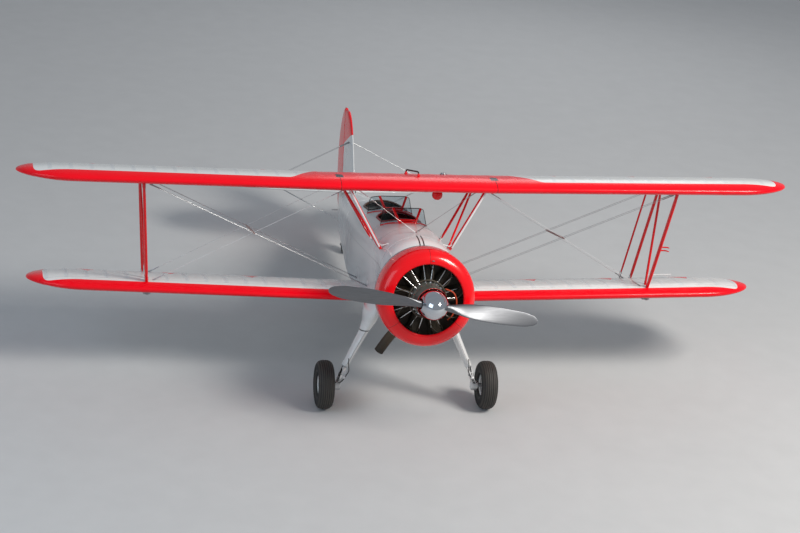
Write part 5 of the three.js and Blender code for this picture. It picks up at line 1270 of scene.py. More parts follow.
# Main wheels. Cast two-part rims, enamelled white, with a steel hub, eight bolts and a brake drum inboard;
# the tyres are black rubber with five ribs round the tread.
WHEEL_RADIUS, WHEEL_WIDTH, RIM_RADIUS, BEAD = 0.3092, 0.205, 0.134, 0.068
TYRE_RIBS, GROOVE, WHEEL_BOLTS = 8, 0.006, 8
across = np.linspace(-1, 1, 81) * np.pi * 0.72
rubber = Finish("tyre_rubber", Roughness=0.7)
X, Y, Z = rubber.level()
dust = rubber.noise(14, 5.0)
rib_half = WHEEL_WIDTH / TYRE_RIBS / 2
# the grooves of the main tyres' tread are painted near black, as painted shade in them
groove_shade = rubber.line((abs(X) - 0.84).by("PINGPONG", rib_half), 0, 0.0032) * (1 - rubber.ease(Y, 3.0, 3.1))
worn_rubber = rubber.mix(dust, tint(40, 39, 38), tint(74, 70, 64))
rubber.set(Base_Color=rubber.mix(groove_shade, worn_rubber, tint(14, 14, 15)), Roughness=0.55 + dust * 0.25)
rubber.bump(rubber.noise(220, 2.0), 0.0008, 0.5)


def tyre_rows(radius, width, rim, bead, ribs, depth):
    """A tyre's section: a superellipse |x|^2.6 + |r|^2.6 = 1 about its middle radius, cut by even grooves
    in the tread, ribs to the whole width, from one bead round to the other.
    """
    middle, high = (radius + rim) / 2, (radius - rim) / 2
    x = np.sign(np.sin(across)) * abs(np.sin(across)) ** (2 / 2.6) * width / 2
    r = middle + np.sign(np.cos(across)) * abs(np.cos(across)) ** (2 / 2.6) * high
    tread = np.clip((r - middle) / high * 3 - 2, 0, 1)
    groove = np.clip(np.cos(2 * np.pi * ribs * x / width) * 4 - 3, 0, 1)
    inner = np.array([(rim, bead), (rim, -bead)])
    rows = np.column_stack([np.maximum(r - depth * groove * tread, rim), x])
    return np.concatenate([rows, inner])


tyre_form = spun(tyre_rows(WHEEL_RADIUS, WHEEL_WIDTH, RIM_RADIUS, BEAD, TYRE_RIBS, GROOVE), WHEEL_AT,
                 (1, 0, 0), 120, closed=True)
rim_rows = np.array([
    (0.0262, -0.056), (0.046, -0.056), (0.050, -0.052), (0.060, -0.022), (0.108, -0.027), (0.120, -0.040),
    (0.130, -0.061), (0.1345, -0.064), (0.1345, 0.064), (0.130, 0.061), (0.124, 0.046), (0.114, 0.028),
    (0.108, 0.024), (0.064, 0.012), (0.052, 0.030), (0.050, 0.050), (0.046, 0.056), (0.0262, 0.056),
])
rim_form = spun(rim_rows, WHEEL_AT, (1, 0, 0), 72, closed=True)
hub_parts = [spun([(0, 0.050), (0.040, 0.050), (0.043, 0.056), (0.042, 0.064), (0.030, 0.070), (0, 0.072)],
                  WHEEL_AT, (1, 0, 0), 36),
             spun([(0.048, -0.057), (0.094, -0.057), (0.098, -0.050), (0.098, -0.030), (0.048, -0.024)],
                  WHEEL_AT, (1, 0, 0), 60, closed=True)]
wheel_bolt = [(0, 0.030), (0.007, 0.030), (0.0085, 0.027), (0.0085, 0.015), (0, 0.015)]
for a in circle(WHEEL_BOLTS):
    at = WHEEL_AT + (0, 0.086 * math.sin(a), 0.086 * math.cos(a))
    hub_parts.append(spun(wheel_bolt, at, (1, 0, 0), 6))
valve = WHEEL_AT + np.array([(0.018, 0, 0.112), (0.052, 0, 0.106)])
hub_parts.append(tube(valve, 0.004, 8))
for side, turned in SIDES:
    piece(f"tyre_ribbed_{side}", f"wheel_{side}", [turned(tyre_form)], rubber, replaces=[f"tyre_{side}"],
          slot="tyre_rubber", sharp=60)
    piece(f"wheel_rim_{side}", f"wheel_{side}", [[turned(rim_form)], [turned(f) for f in hub_parts]],
          white_enamel, steel, replaces=[f"wheel_{side}"], slot="white_paint", sharp=40)

# Tail wheel. A steel post under the rudder, a forged steel fork that swivels on it, square to the ground,
# and a small solid tyre on an enamelled rim.
TAIL_AXLE, FORK_TRAIL, FORK_TOP = np.array([0, 6.655, -0.440]), 0.062, 0.205
UPRIGHT = np.array([0, -math.sin(LEAN), math.cos(LEAN)])
swivel_at = lambda up: TAIL_AXLE - (0, FORK_TRAIL, 0) + UPRIGHT * up
post = [spun([(0, 0.217), (0.037, 0.217), (0.040, 0.222), (0.046, 0.290), (0.060, 0.395), (0, 0.395)],
             swivel_at(0), UPRIGHT, 40),
        rod(swivel_at(0), UPRIGHT, 0.013, FORK_TOP - 0.036, 0.235, 20)]
piece("tail_post", "airframe", post, steel, slot="steel")
crown = swivel_at(FORK_TOP - 0.040)
beside = np.array([1.0, 0, 0])
fork_parts = [
    spun([(0.0150, FORK_TOP - 0.060), (0.034, FORK_TOP - 0.060), (0.038, FORK_TOP - 0.054),
          (0.038, FORK_TOP + 0.006), (0.034, FORK_TOP + 0.0114), (0.0150, FORK_TOP + 0.0114)],
         swivel_at(0), UPRIGHT, 36, closed=True),
    tube([TAIL_AXLE - beside * 0.066, TAIL_AXLE + beside * 0.066], 0.012, 20),
]
for s in (-1, 1):
    fork_parts.append(faired(crown + beside * (s * 0.016), crown + beside * (s * 0.058),
                             0.060, 0.030, 0.0, 6, 28))
    fork_parts.append(faired(crown + beside * (s * 0.052) + UPRIGHT * 0.012, TAIL_AXLE + beside * (s * 0.052)
                             - UPRIGHT * 0.016, 0.046, 0.012, 0.0, 10, 28))
    fork_parts.append(rod(TAIL_AXLE, beside * s, 0.017, 0.054, 0.064, 6))
piece("tail_fork_forging", "tail_fork", fork_parts, steel, replaces=["tail_wheel_fork"], slot="steel")
small_tyre = spun(tyre_rows(0.1312, 0.076, 0.060, 0.028, 4, 0.003), TAIL_AXLE, (1, 0, 0), 72, closed=True)
small_rim = spun([(0.0125, -0.034), (0.030, -0.034), (0.034, -0.018), (0.050, -0.018), (0.060, -0.029),
                  (0.062, -0.029), (0.062, 0.029), (0.060, 0.029), (0.050, 0.018), (0.034, 0.018),
                  (0.030, 0.034), (0.0125, 0.034)],
                 TAIL_AXLE, (1, 0, 0), 48, closed=True)
piece("tail_tyre", "tail_wheel", [[small_tyre], [small_rim]], rubber, white_enamel, replaces=["tail_wheel"],
      slot="tyre_rubber", sharp=50)

# Fin and tail planes. Flat wooden frames with round noses under doped fabric, white with red tips; each ends
# aft in a straight post that carries the hinge lugs, and the fin stands over the elevator's torque tube.
TAIL_HALF, RUDDER_Y, ELEVATOR_Y, ELEVATOR_Z, TAIL_CLEAR = 0.026, 6.975, 6.850, 0.442, 0.009
PLANE_HALF, TAIL_SAG, TAIL_RIBS = 0.024, 0.0016, 0.21
FIN_EDGE = np.array([(0.330, 5.985), (0.620, 6.085), (0.900, 6.200), (1.150, 6.325), (1.350, 6.470),
                     (1.480, 6.630), (1.540, 6.740)])
PLANE_EDGE = np.array([(0.026, 6.020), (0.700, 6.110), (1.250, 6.230), (1.560, 6.370), (1.740, 6.530),
                       (1.815, 6.680)])


def fixed_surface(edge, aft, half, place, stops):
    """A fixed tail surface over stations between stops: its half depth at a share u of the chord is
    sin(90°·(u / .45)^.45), full behind .45, and rounds off over the last 5 cm of the span.
    """
    s = np.asarray(stops)[:, None]
    lead = smooth(edge, s[:, 0])
    u = spread(0, 1, 30, 2.2)
    v = np.sin(np.pi / 2 * np.minimum(u / 0.45, 1) ** 0.45)
    u, v = np.concatenate([u, u[:0:-1]])[None, :], np.concatenate([v, -v[:0:-1]])[None, :]
    tip = np.sqrt(np.clip(1 - (np.clip(s - edge[-1, 0] + 0.05, 0, 0.05) / 0.05) ** 2, 1e-4, 1))
    drawn = TAIL_SAG * np.sin(np.pi * s / TAIL_RIBS) ** 2 * np.clip((u - 0.12) / 0.1, 0, 1) * np.sign(v)
    return net(place(s + 0 * u, lead + u * (np.asarray(aft)[:, None] - lead), (v * half - drawn) * tip))


def swinging_surface(edge, hinge, half, place, slots):
    """A movable tail surface: a half round nose about the hinge line and sides that thin out aft as
    (1 - u)^0.66. Over each slot the nose is cut back flat, to clear a lug.
    """
    stops = [edge[0, 0], *(s + d for s in slots for d in (-0.015, 0.015)), edge[-1, 0]]
    runs = [spread(a, b, 3 if i % 2 else 26) for i, (a, b) in enumerate(zip(stops[:-1], stops[1:]))]
    s = np.concatenate(runs)[:, None]
    slotted = np.concatenate([np.full(len(r), i % 2 == 1) for i, r in enumerate(runs)])
    trail = smooth(edge, s[:, 0])
    u = spread(0, 1, 14)[None, :] + 0 * s
    u[slotted] = np.maximum(u[slotted], 0.018 / (trail[slotted] - hinge))
    ends = np.minimum(s - edge[0, 0], edge[-1, 0] - s)
    tip = np.sqrt(np.clip(1 - (1 - np.clip(ends / 0.035, 0, 1)) ** 2, 0.02, 1))
    v = np.clip(1 - u, 0, 1) ** 0.66
    drawn = TAIL_SAG * np.sin(np.pi * s / TAIL_RIBS) ** 2 * np.clip(u * 6, 0, 1) * np.clip((1 - u) * 6, 0, 1)
    up = (v * half - drawn) * tip
    y = hinge + u * (trail - hinge)
    turns = np.linspace(-np.pi / 2, np.pi / 2, 15)[None, 1:-1]
    nose_y = hinge - half * np.cos(turns) + 0 * s
    nose_up = half * np.sin(turns) * tip
    low, high = -up[:, 0], up[:, 0]
    share = np.linspace(0, 1, 15)[None, 1:-1]
    nose_y[slotted] = y[slotted, :1] + 0 * share
    nose_up[slotted] = (low[:, None] + (high - low)[:, None] * share)[slotted]
    ring_y = np.concatenate([y, y[:, ::-1], nose_y], 1)
    ring_up = np.concatenate([up, -up[:, ::-1], nose_up], 1)
    return net(place(s + 0 * ring_y, ring_y, ring_up))


upright = lambda s, y, across: np.stack([across, y, s], -1)
lying = lambda s, y, across: np.stack([s, y, ELEVATOR_Z + across], -1)
tail_paint = Finish("tail_paint", Coat_Weight=0.35, Coat_Roughness=0.05, Specular_IOR_Level=0.3)
X, Y, Z = tail_paint.level()
fin_red = tail_paint.ease(Z + (Y - 6.30) * 0.35, 1.255, 1.262)
plane_red = tail_paint.ease(abs(X) + (Y - 6.35).by("MAXIMUM", 0) * 0.25, 1.500, 1.506)
plane_red = plane_red * tail_paint.ease(Y, 6.82, 6.83)
red = (fin_red + plane_red * (1 - tail_paint.ease(Z, 0.52, 0.53))).by("MINIMUM", 1)
dirt = tail_paint.noise(2.0, 5.0)
tail_paint.set(
    Base_Color=tail_paint.mix(red, tail_paint.mix(dirt * 0.5, tint(228, 229, 227), tint(198, 202, 208)),
                              tail_paint.mix(dirt, tint(255, 0, 26), tint(232, 0, 20))),
    Roughness=0.18 + tail_paint.noise(1.2, 2.0) * 0.18,
)
tail_paint.bump(tail_paint.noise(80, 2.0) * 0.2, 0.001, 0.5)
low = spread(0.30, 0.4745, 8)
high = np.concatenate([spread(0.4755, 1.48, 80), 1.54 - 0.06 * np.cos(np.linspace(0, np.pi / 2, 14))[1:]])
fin_aft = np.concatenate([np.full(len(low), ELEVATOR_Y - 0.034),
                          np.full(len(high), RUDDER_Y - TAIL_HALF - TAIL_CLEAR)])
fin_form = fixed_surface(FIN_EDGE, fin_aft, TAIL_HALF, upright, np.concatenate([low, high]))
piece("fin_skin", "airframe", [fin_form], tail_paint, replaces=["fin"], slot="white_paint", sharp=45)
reach = np.concatenate([spread(0.03, 1.74, 90), 1.815 - 0.075 * np.cos(np.linspace(0, np.pi / 2, 14))[1:]])
plane_aft = np.full(len(reach), ELEVATOR_Y - PLANE_HALF - TAIL_CLEAR)
plane_form = fixed_surface(PLANE_EDGE, plane_aft, PLANE_HALF, lying, reach)
pair("tail_plane_skin", [plane_form], tail_paint, replaces="tail_plane", slot="white_paint", sharp=45)

# Rudder and elevator. Fabric over ribs, with slots in their noses for the lugs; the elevator's halves share
# one torque tube, and the rudder has a horn for its cables.
RUDDER_EDGE = np.array([(-0.070, 7.205), (0.040, 7.385), (0.200, 7.490), (0.420, 7.548), (0.700, 7.559),
                        (0.950, 7.530), (1.180, 7.452), (1.370, 7.330), (1.500, 7.190), (1.560, 7.070)])
ELEVATOR_EDGE = np.array([(0.070, 6.960), (0.330, 7.330), (0.900, 7.350), (1.350, 7.310), (1.620, 7.210),
                          (1.770, 7.060), (1.824, 6.920)])
RUDDER_LUGS, ELEVATOR_LUGS = (0.120, 0.560, 1.300), (0.420, 1.500)
rudder_red = mottled("rudder_red", (2, 4), (255, 0, 26), (232, 0, 20), 0.2, 0.16, (1.2, 2),
                     Coat_Weight=0.35, Coat_Roughness=0.05, Specular_IOR_Level=0.3)
rudder_red.bump(rudder_red.noise(80, 2.0) * 0.2, 0.001, 0.5)
rudder_form = swinging_surface(RUDDER_EDGE, RUDDER_Y, TAIL_HALF - 0.0006, upright, RUDDER_LUGS)
horn = [brick((s * 0.085, RUDDER_Y + 0.022, 0.02), (0.070, 0.016, 0.004), 0.9, 5) for s in (-1, 1)]
piece("rudder_skin", "rudder", [[rudder_form], horn], rudder_red, steel, replaces=["rudder"],
      slot="red_paint", sharp=45)
elevator_form = swinging_surface(ELEVATOR_EDGE, ELEVATOR_Y, PLANE_HALF - 0.0006, lying, ELEVATOR_LUGS)
torque_tube = tube([(-0.10, ELEVATOR_Y, ELEVATOR_Z), (0.10, ELEVATOR_Y, ELEVATOR_Z)], 0.022, 28)
piece("elevator_skin", "elevator", [[elevator_form, flipped(elevator_form)], [torque_tube]], tail_paint,
      steel, replaces=["elevator"], slot="white_paint", sharp=45)
tail_lugs = []
for z in RUDDER_LUGS:
    root = 0.060 if z < 0.3 else 0.046
    tail_lugs.append(brick((0, RUDDER_Y - root / 2 + 0.005, z), (0.010, root / 2 + 0.006, 0.008), 0.8, 5))
    tail_lugs.append(tube([(0, RUDDER_Y, z + d) for d in (-0.022, 0.022)], 0.006, 12))
piece("rudder_hinges", "airframe", tail_lugs, steel, slot="steel")
tail_lugs = []
for x in ELEVATOR_LUGS:
    tail_lugs.append(brick((x, ELEVATOR_Y - 0.019, ELEVATOR_Z), (0.008, 0.030, 0.010), 0.8, 5))
    tail_lugs.append(tube([(x + d, ELEVATOR_Y, ELEVATOR_Z) for d in (-0.022, 0.022)], 0.006, 12))
piece("elevator_hinges", "airframe", [*tail_lugs, *(flipped(f) for f in tail_lugs)], steel, slot="steel")

# Tail bracing. A streamlined white tube under each tail plane, and doubled steel wires from the fin down to
# the plane, each with a fork end.
brace = faired((0.13, 6.422, -0.040), (1.065, 6.479, 0.436), 0.034, 0.015, 0.3)
pair("tail_brace_tube", [brace], white_enamel, replaces="tail_brace", slot="white_paint")
wires, ends = [], []
stay(np.array([1.330, 6.460, ELEVATOR_Z + 0.022]), np.array([0.020, 6.500, 1.110]), 0.060)
tail_wires = [*wires, *ends]
piece("tail_wires", "airframe", [*tail_wires, *(flipped(f) for f in tail_wires)], steel, slot="steel")

# Cockpits. Painted inside in dull grey green; a plywood floor on a beam, a control stick for each seat, and
# under the deck ahead of each seat a black instrument board with round dials.
def line_inside(made, finish):
    """Gives the faces of a body panel that look towards the body's middle line a finish of their own."""
    count = len(made.data.polygons)
    normals, centres = np.empty(count * 3), np.empty(count * 3)
    made.data.polygons.foreach_get("normal", normals)
    made.data.polygons.foreach_get("center", centres)
    places = (centres.reshape(-1, 3) - TIP) @ LEVEL_AXES.T * (1, 0, 1) - (0, 0, 0.03)
    inwards = np.einsum("ij,ij->i", normals.reshape(-1, 3) @ LEVEL_AXES.T, places) < -0.05
    made.data.materials.append(finish.material)
    made.data.polygons.foreach_set("material_index", inwards.astype(np.int32))


for name in ("deck_skin", "side_skin_left", "side_skin_right", "belly_skin"):
    line_inside(bpy.data.objects[name], inside_paint)
FLOOR_Z, FLOOR_HALF_WIDTH, STICKS_Y = -0.388, 0.330, (2.350, 3.280)
plywood = Finish("floor_plywood", Roughness=0.6)
grain = plywood.noise(24, 5.0, (4, 0.35, 1))
plywood.set(Base_Color=plywood.mix(grain, tint(120, 92, 60), tint(86, 62, 40)), Roughness=0.5 + grain * 0.2)
grip_rubber = mottled("grip_rubber", (60, 3), (26, 26, 27), (44, 43, 42), 0.6)
floor_parts = [brick((0, 2.890, FLOOR_Z - 0.007), (FLOOR_HALF_WIDTH, 0.990, 0.007), 0.3, 3),
               brick((0, 2.890, FLOOR_Z - 0.040), (0.150, 0.860, 0.030), 0.2, 3)]
sticks, grips = [], []
for y in STICKS_Y:
    sticks.append(tube([(0, y, FLOOR_Z), (0, y + 0.020, -0.160), (0, y + 0.040, 0.060)], 0.0125, 20))
    sticks.append(spun([(0, 0), (0.050, 0), (0.044, 0.018), (0.024, 0.040), (0, 0.044)],
                       (0, y, FLOOR_Z), (0, 0, 1), 32))
    notches = np.array([0.013, 0.018, 0.0165, 0.0185, 0.0165, 0.0185, 0.0165, 0.0185, 0.019, 0.016, 0.004])
    grips.append(tube(np.array([0, y + 0.038, 0.040]) + np.linspace(0, 1, 11)[:, None] * (0, 0.012, 0.132),
                      notches, 20))
piece("cockpit_boards", "airframe", [floor_parts, sticks, grips], plywood, steel, grip_rubber,
      replaces=["cockpit_floor"], slot="interior")


def deck_z(x, y):
    """The deck's height: a quarter of an ellipse from the crown down to the shoulder."""
    half, crown, shoulder = smooth(STATIONS, np.asarray(y, float))[..., :3].T
    return shoulder + (crown - shoulder) * np.sqrt(np.clip(1 - (np.asarray(x) / half) ** 2, 0, 1))


dial_black = mottled("instrument_black", (40, 3), (22, 23, 24), (38, 38, 38), 0.55)
BOARD_FOOT, BOARD_HALF, MARKS = 0.312, 0.007, 12
DIALS = ((-0.225, 0.425, 0.036), (-0.125, 0.462, 0.036), (0.000, 0.485, 0.042), (0.125, 0.462, 0.036),
         (0.225, 0.425, 0.036), (-0.065, 0.372, 0.030), (0.065, 0.372, 0.030), (0.300, 0.365, 0.024),
         (-0.300, 0.365, 0.024))
for name, (station, length) in COCKPITS.items():
    at = station - length / 2 - 0.050
    ways = np.linspace(-0.80, 0.80, 41)
    arch = body_at(np.full(41, at), ways, SKIN + 0.003)
    arch = arch[arch[:, 2] > BOARD_FOOT]
    outline = np.concatenate([arch, [(x, at, BOARD_FOOT) for x in (arch[-1, 0], 0, arch[0, 0])]])
    board = net(np.stack([outline - (0, BOARD_HALF, 0), outline + (0, BOARD_HALF, 0)]))
    bezels, marks = [], []
    for x, z, r in DIALS:
        face = np.array([x, at + BOARD_HALF, z])
        bezels.append(spun([(r + 0.005, 0.0), (r + 0.005, 0.006), (r + 0.002, 0.009), (r - 0.002, 0.008),
                            (r - 0.003, 0.003)],
                           face, (0, 1, 0), 36, closed=True))
        strokes = [(a, 0.80, 0.001, 0.0008, 0.09) for a in circle(MARKS)]
        for a, far, lift, half, long in (*strokes, (0.9 + 31 * x + 17 * z, 0.30, 0.002, 0.0011, 0.42)):
            out = spoke(a)
            marks.append(brick(face + out * (r * far) + (0, lift, 0),
                               (half, 0.0012, r * long), 0.2, 2,
                               axes=[np.cross(out, (0, 1, 0)), (0, 1, 0), out]))
    piece(f"instrument_board_{name}", "airframe", [[board], bezels, marks], dial_black, steel, white_enamel,
          slot="interior")

# Coamings. A leather roll, stuffed and sewn, laced round the edge of each cockpit; the laces draw it in.
# It is red in front and brown behind.
COAMING, LACES = 0.0150, 30
leather = {}
for name, light, dark in (("front", tint(176, 12, 22), tint(130, 8, 16)),
                          ("rear", tint(78, 44, 28), tint(52, 28, 18))):
    leather[name] = Finish(f"leather_{name}", Roughness=0.45, Coat_Weight=0.1)
    crease = leather[name].noise(38, 5.0)
    leather[name].set(Base_Color=leather[name].mix(crease, light, dark), Roughness=0.36 + crease * 0.25)
    leather[name].bump(leather[name].noise(190, 3.0) + crease * 0.7, 0.0012, 0.5)
for name, (station, length) in COCKPITS.items():
    outline = rounded(COCKPIT_HALF, length / 2, COCKPIT_CORNER, 40)
    outline = outline[np.r_[True, np.linalg.norm(np.diff(outline, axis=0), axis=1) > 1e-4]]
    outline = np.concatenate([outline, outline[:1]])
    far = along_path(outline)
    even = np.linspace(0, far[-1], 240, endpoint=False)
    x, y = np.interp(even, far, outline[:, 0]), np.interp(even, far, outline[:, 1]) + station
    path = np.column_stack([x, y, deck_z(x, y) - 0.002])
    lacing = 1 - 0.12 * abs(np.sin(even * np.pi / (far[-1] / LACES))) ** 8
    roll = piece(f"coaming_{name}", "airframe", [tube(path, COAMING * lacing, 20, along=True)],
                 leather[name], slot="leather")

# Seats. Bucket seats of pressed sheet with rolled rims on two feet, each with a stuffed leather seat cushion
# and back cushion, sewn in channels, and a lap belt of webbing with a steel buckle.
SEAT_AFT, CHANNEL, SEAM_DEEP = 0.030, 0.072, 0.006


def stuffed(name, made, move):
    """Blows a cushion up by cloth simulation: its mesh is copied, remeshed and put under pressure for 20
    frames, and no point moves further than move. Returns the mesh and its points.
    """
    shape = bpy.data.objects.new(name + "_stuffing", made.data.copy())
    bpy.context.scene.collection.objects.link(shape)
    remesh = shape.modifiers.new("even", "REMESH")
    remesh.mode, remesh.voxel_size = "VOXEL", 0.0075
    seen = shape.evaluated_get(bpy.context.evaluated_depsgraph_get())
    even = bpy.data.meshes.new_from_object(seen)
    shape.modifiers.clear()
    shape.data = even
    start = np.empty(len(even.vertices) * 3)
    even.vertices.foreach_get("co", start)
    cloth = shape.modifiers.new("cloth", "CLOTH")
    cloth.settings.use_pressure, cloth.settings.uniform_pressure_force = True, 4.0
    cloth.settings.effector_weights.gravity = 0
    cloth.settings.quality = 4
    for frame_number in range(1, 21):
        bpy.context.scene.frame_set(frame_number)
    seen = shape.evaluated_get(bpy.context.evaluated_depsgraph_get())
    blown = np.empty(len(even.vertices) * 3)
    seen.data.vertices.foreach_get("co", blown)
    shape.modifiers.clear()
    bpy.context.scene.frame_set(1)
    shift = (blown - start).reshape(-1, 3)
    far = np.linalg.norm(shift, axis=1, keepdims=True)
    start = (start.reshape(-1, 3) + shift * np.minimum(1, move / np.maximum(far, 1e-9))).ravel()
    bpy.data.objects.remove(shape)
    return even, start.reshape(-1, 3)


def cushion_pieces(kind, centre, halves, move, channel_axis, shifts):
    """One simulated cushion, grooved along its seams, and a copy of it for the other seat."""
    form = brick(centre, halves, 0.75, 10)
    first = piece(f"{kind}_cushion_front", "airframe", [form], leather["rear"], slot="leather", sharp=180)
    even, places = stuffed(kind, first, move)
    level_places = (places - TIP) @ LEVEL_AXES.T
    half = CHANNEL / 2
    seam = abs((level_places[:, channel_axis] - centre[channel_axis] + 10.0) % CHANNEL - half)
    groove = SEAM_DEEP * np.exp(-((half - seam) / SEAM_DEEP) ** 2)
    up = level_places - np.asarray(centre)
    up[:, channel_axis] = 0
    distance = np.maximum(np.linalg.norm(up, axis=1, keepdims=True), 1e-6)
    level_places = level_places - up / distance * groove[:, None]
    old = first.data
    for place, shift in shifts.items():
        mesh = even if place == "front" else even.copy()
        mesh.vertices.foreach_set("co", parked(level_places + (0, shift, 0)).ravel())
        mesh.materials.clear()
        mesh.materials.append(leather["rear"].material)
        mesh.shade_smooth()
        if place == "front":
            made = first
            made.data = mesh
        else:
            made = bpy.data.objects.new(f"{kind}_cushion_{place}", mesh)
            bpy.context.scene.collection.objects.link(made)
            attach(made, "airframe")
        finer = made.modifiers.new("finer", "SUBSURF")
        finer.levels = finer.render_levels = 1
    bpy.data.meshes.remove(old)


seat_at = {name: place[0] + SEAT_AFT for name, place in COCKPITS.items()}
seat_shift = {"front": 0.0, "rear": seat_at["rear"] - seat_at["front"]}
y = seat_at["front"]
cushion_pieces("seat", (0, y - 0.004, -0.148), (0.172, 0.172, 0.030), 0.014, 1, seat_shift)
cushion_pieces("back", (0, y + 0.158, 0.095), (0.170, 0.024, 0.180), 0.012, 2, seat_shift)
seat_metal = mottled("seat_metal", (12, 4), (128, 134, 126), (98, 104, 98), 0.38, 0.2, (20, 3), Metallic=0.7)
webbing = Finish("webbing", Roughness=0.8)
diagonal = {"wave_type": "BANDS", "bands_direction": "DIAGONAL"}
weave = webbing.node("TexWave", diagonal, Vector=webbing.place(), Scale=260.0)
webbing.set(Base_Color=webbing.mix(weave, tint(62, 66, 52), tint(44, 46, 38)))
webbing.bump(weave, 0.0006, 0.5)
SEAT_HOOP = ((-0.196, -0.19), (-0.196, 0.325), (0.196, 0.325), (0.196, -0.19))
BELT_PATH = ((0.185, 0.150, -0.130), (0.155, 0.110, -0.104), (0.100, 0.060, -0.094), (0.030, 0.030, -0.092))
for name, y in seat_at.items():
    shell = [
        brick((0, y + 0.0125, -0.200), (0.205, 0.2025, 0.015), 0.8, 6),
        brick((0, y + 0.206, 0.0725), (0.205, 0.016, 0.2575), 0.9, 6),
        tube(bent([(x, y + 0.206, z) for x, z in SEAT_HOOP], 0.08, 60), 0.011, 14),
    ]
    for s in (-1, 1):
        shell.append(brick((0.196 * s, y + 0.005, -0.1225), (0.009, 0.195, 0.0625), 0.8, 5))
        shell.append(brick((0.135 * s, y, -0.294), (0.014, 0.118, 0.0925), 0.3, 4))
        shell.append(tube([(0.196 * s, y - 0.185, -0.062), (0.196 * s, y + 0.195, -0.062)], 0.0105, 12))
    belts = []
    for s in (-1, 1):
        path = through(np.array(BELT_PATH) * (s, 1, 1) + (0, y, 0), 24)
        run = np.gradient(path, axis=0)
        run /= np.linalg.norm(run, axis=1, keepdims=True)
        wide = np.cross(run, (0, 0, 1))
        wide /= np.linalg.norm(wide, axis=1, keepdims=True)
        flat = np.cross(wide, run)
        corners = [(-0.022, -0.0012), (0.022, -0.0012), (0.022, 0.0012), (-0.022, 0.0012)]
        belts.append(net(np.stack([path + wide * a + flat * b for a, b in corners], 1)))
    buckles = [brick((0, y + 0.028, -0.0895), (0.036, 0.026, 0.005), 0.8, 5),
               brick((0.010, y + 0.028, -0.083), (0.018, 0.020, 0.003), 0.8, 4)]
    piece(f"seat_shell_{name}", "airframe", [shell, belts, buckles], seat_metal, webbing, steel,
          replaces=[f"seat_{name}"], slot="interior")

# Windshields. Three flat panes each, the outer two swept back, in red posts, sill and foot strips, with a
# thin black rounded edge over the top.
SHIELD_AHEAD, PANE, SILL_SHARE, FOOT_X = 0.585, 0.005, 0.25, 0.095
glass = Finish("clear_glass", Transmission_Weight=1.0, IOR=1.2)
smear = glass.noise(7, 4.0)
glass.set(Base_Color=glass.mix(smear, tint(214, 224, 228), tint(198, 210, 216)),
          Roughness=0.02 + smear * 0.03)
black_edge = mottled("black_edge", (50, 3), (20, 20, 21), (36, 35, 34), 0.4)


def pane(corners):
    """A flat plate between four corners, as bilinear grids on its two faces."""
    a, b, c, d = (np.asarray(p, float) for p in corners)
    normal = unit(np.cross(b - a, d - a))
    s, t = np.meshgrid(np.linspace(0, 1, 8), np.linspace(0, 1, 8), indexing="ij")
    s, t = s[..., None], t[..., None]
    middle = (a * (1 - t) + d * t) * (1 - s) + (b * (1 - t) + c * t) * s
    return slab(middle + normal * PANE / 2, middle - normal * PANE / 2)


for name, place in COCKPITS.items():
    y = place[0] - SHIELD_AHEAD
    mid_low = np.array([FOOT_X, y, deck_z(FOOT_X, y) - 0.012])
    mid_top = np.array([0.178, y + 0.095, 0.852])
    back_low = np.array([0.300, y + 0.245, deck_z(0.300, y + 0.245) - 0.012])
    back_top = np.array([0.262, y + 0.300, 0.800])
    other = lambda p: p * (-1, 1, 1)
    middle = pane([mid_low, other(mid_low), other(mid_top), mid_top])
    wing_pane = pane([mid_low, mid_top, back_top, back_low])
    panes = [middle, wing_pane, flipped(wing_pane)]
    ahead = np.array([0, -0.0105, 0.002])
    post = faired(mid_low + ahead, mid_top + ahead, 0.020, 0.032, 0.0, 10, 20)
    sill = mid_low + (mid_top - mid_low) * SILL_SHARE + ahead
    x = np.linspace(-FOOT_X, FOOT_X, 16)
    base = np.column_stack([x, y - 0.006 + 0.02 * (x / FOOT_X) ** 2, deck_z(x, y + 0 * x) + 0.004])
    reds = [post, flipped(post), tube([other(sill), sill], 0.0150, 14), tube(base, 0.015, 12)]
    over = [other(back_low), other(back_top), other(mid_top), mid_top, back_top, back_low]
    edge = tube(bent(np.array(over) + (0, 0.003, 0.002), 0.045, 90), 0.0052, 12)
    foot = mid_low + (back_low - mid_low) * np.linspace(0, 1, 14)[:, None]
    foot[:, 2] = deck_z(foot[:, 0], foot[:, 1]) + 0.003
    reds += [tube(foot, 0.0085, 10), tube(foot * (-1, 1, 1), 0.0085, 10)]
    piece(f"windshield_panes_{name}", "airframe", panes, glass, replaces=[f"windshield_glass_{name}"],
          slot="glass")
    piece(f"windshield_bars_{name}", "airframe", [reds, [edge]], strut_red, black_edge,
          replaces=[f"windshield_frame_{name}"], slot="red_paint")

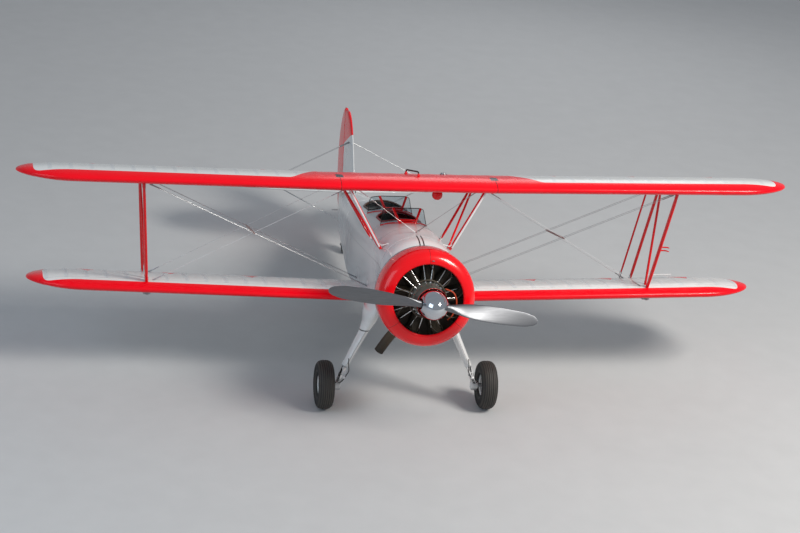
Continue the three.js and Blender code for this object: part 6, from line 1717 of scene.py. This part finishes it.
# Small fittings. A black grab handle on red feet and a filler cap on the centre section, a red mirror under
# it, white lines at the feet of the front cabane struts, and a flange where the exhaust leaves the nose.
feet = [wing_at(UPPER, -0.060, 0.430, 1, 0), wing_at(UPPER, 0.035, 0.215, 1, 0)]
lift = np.array([0, 0, 0.052])
arch = bent([feet[0] - lift * 0.1, feet[0] + lift, feet[1] + lift, feet[1] - lift * 0.1], 0.035, 50)
grab_feet = [spun([(0, -0.004), (0.024, -0.004), (0.024, 0.004), (0.014, 0.012), (0.012, 0.030), (0, 0.030)],
                  f, (0, 0, 1), 24) for f in feet]
cap_at = wing_at(UPPER, 0.42, 0.42, 1, 0)
cap = spun([(0, -0.004), (0.045, -0.004), (0.045, 0.006), (0.036, 0.010), (0.034, 0.020), (0.030, 0.023),
            (0, 0.023)], cap_at, (0, 0.06, 1), 36)
piece("grab_handle", "airframe", [[tube(arch, 0.0100, 14)], grab_feet, [cap]], black_edge, strut_red, steel,
      slot="steel")
MIRROR_AT = np.array([0.334, 1.900, 1.074])
mirror_shell = spun([(0, -0.045), (0.030, -0.040), (0.052, -0.027), (0.066, -0.008), (0.068, 0.004),
                     (0.066, 0.010), (0, 0.010)], MIRROR_AT, (0, 1, 0), 40)
mirror_face = spun([(0, 0.0095), (0.060, 0.0095), (0.062, 0.0115), (0, 0.0120)], MIRROR_AT, (0, 1, 0), 40)
mirror_arm = tube([MIRROR_AT + (0, -0.01, 0.03), MIRROR_AT + (0, 0.0, 0.060), MIRROR_AT + (0, 0.01, 0.095)],
                  0.008, 12)
piece("wing_mirror", "airframe", [[mirror_shell, mirror_arm], [mirror_face]], strut_red, mirror_metal,
      slot="red_paint")
step = np.array([(0.498, 1.490, 0.545), (0.440, 1.470, 0.497), (0.395, 1.460, 0.505),
                 (0.345, 1.450, deck_z(0.345, 1.450) - 0.002)])
share = np.linspace(0, 1, 16)
x, y = 0.405 - 0.043 * share, 1.460 - 0.460 * share
line = np.column_stack([x, y, deck_z(x, y) + 0.004])
pair("nose_lines", [tube(through(step, 20), 0.0065, 10), tube(line, 0.0060, 10)], white_enamel,
     slot="white_paint")
leave = PIPE_BENDS[1] * 0.62 + PIPE_BENDS[2] * 0.38
way_out = PIPE_BENDS[2] - PIPE_BENDS[1]
flange = spun([(0.061, -0.020), (0.092, -0.020), (0.096, -0.014), (0.094, 0.008), (0.064, 0.022),
               (0.061, 0.022)], leave, way_out, 48, closed=True)
piece("exhaust_flange", "airframe", [flange], steel, slot="steel")
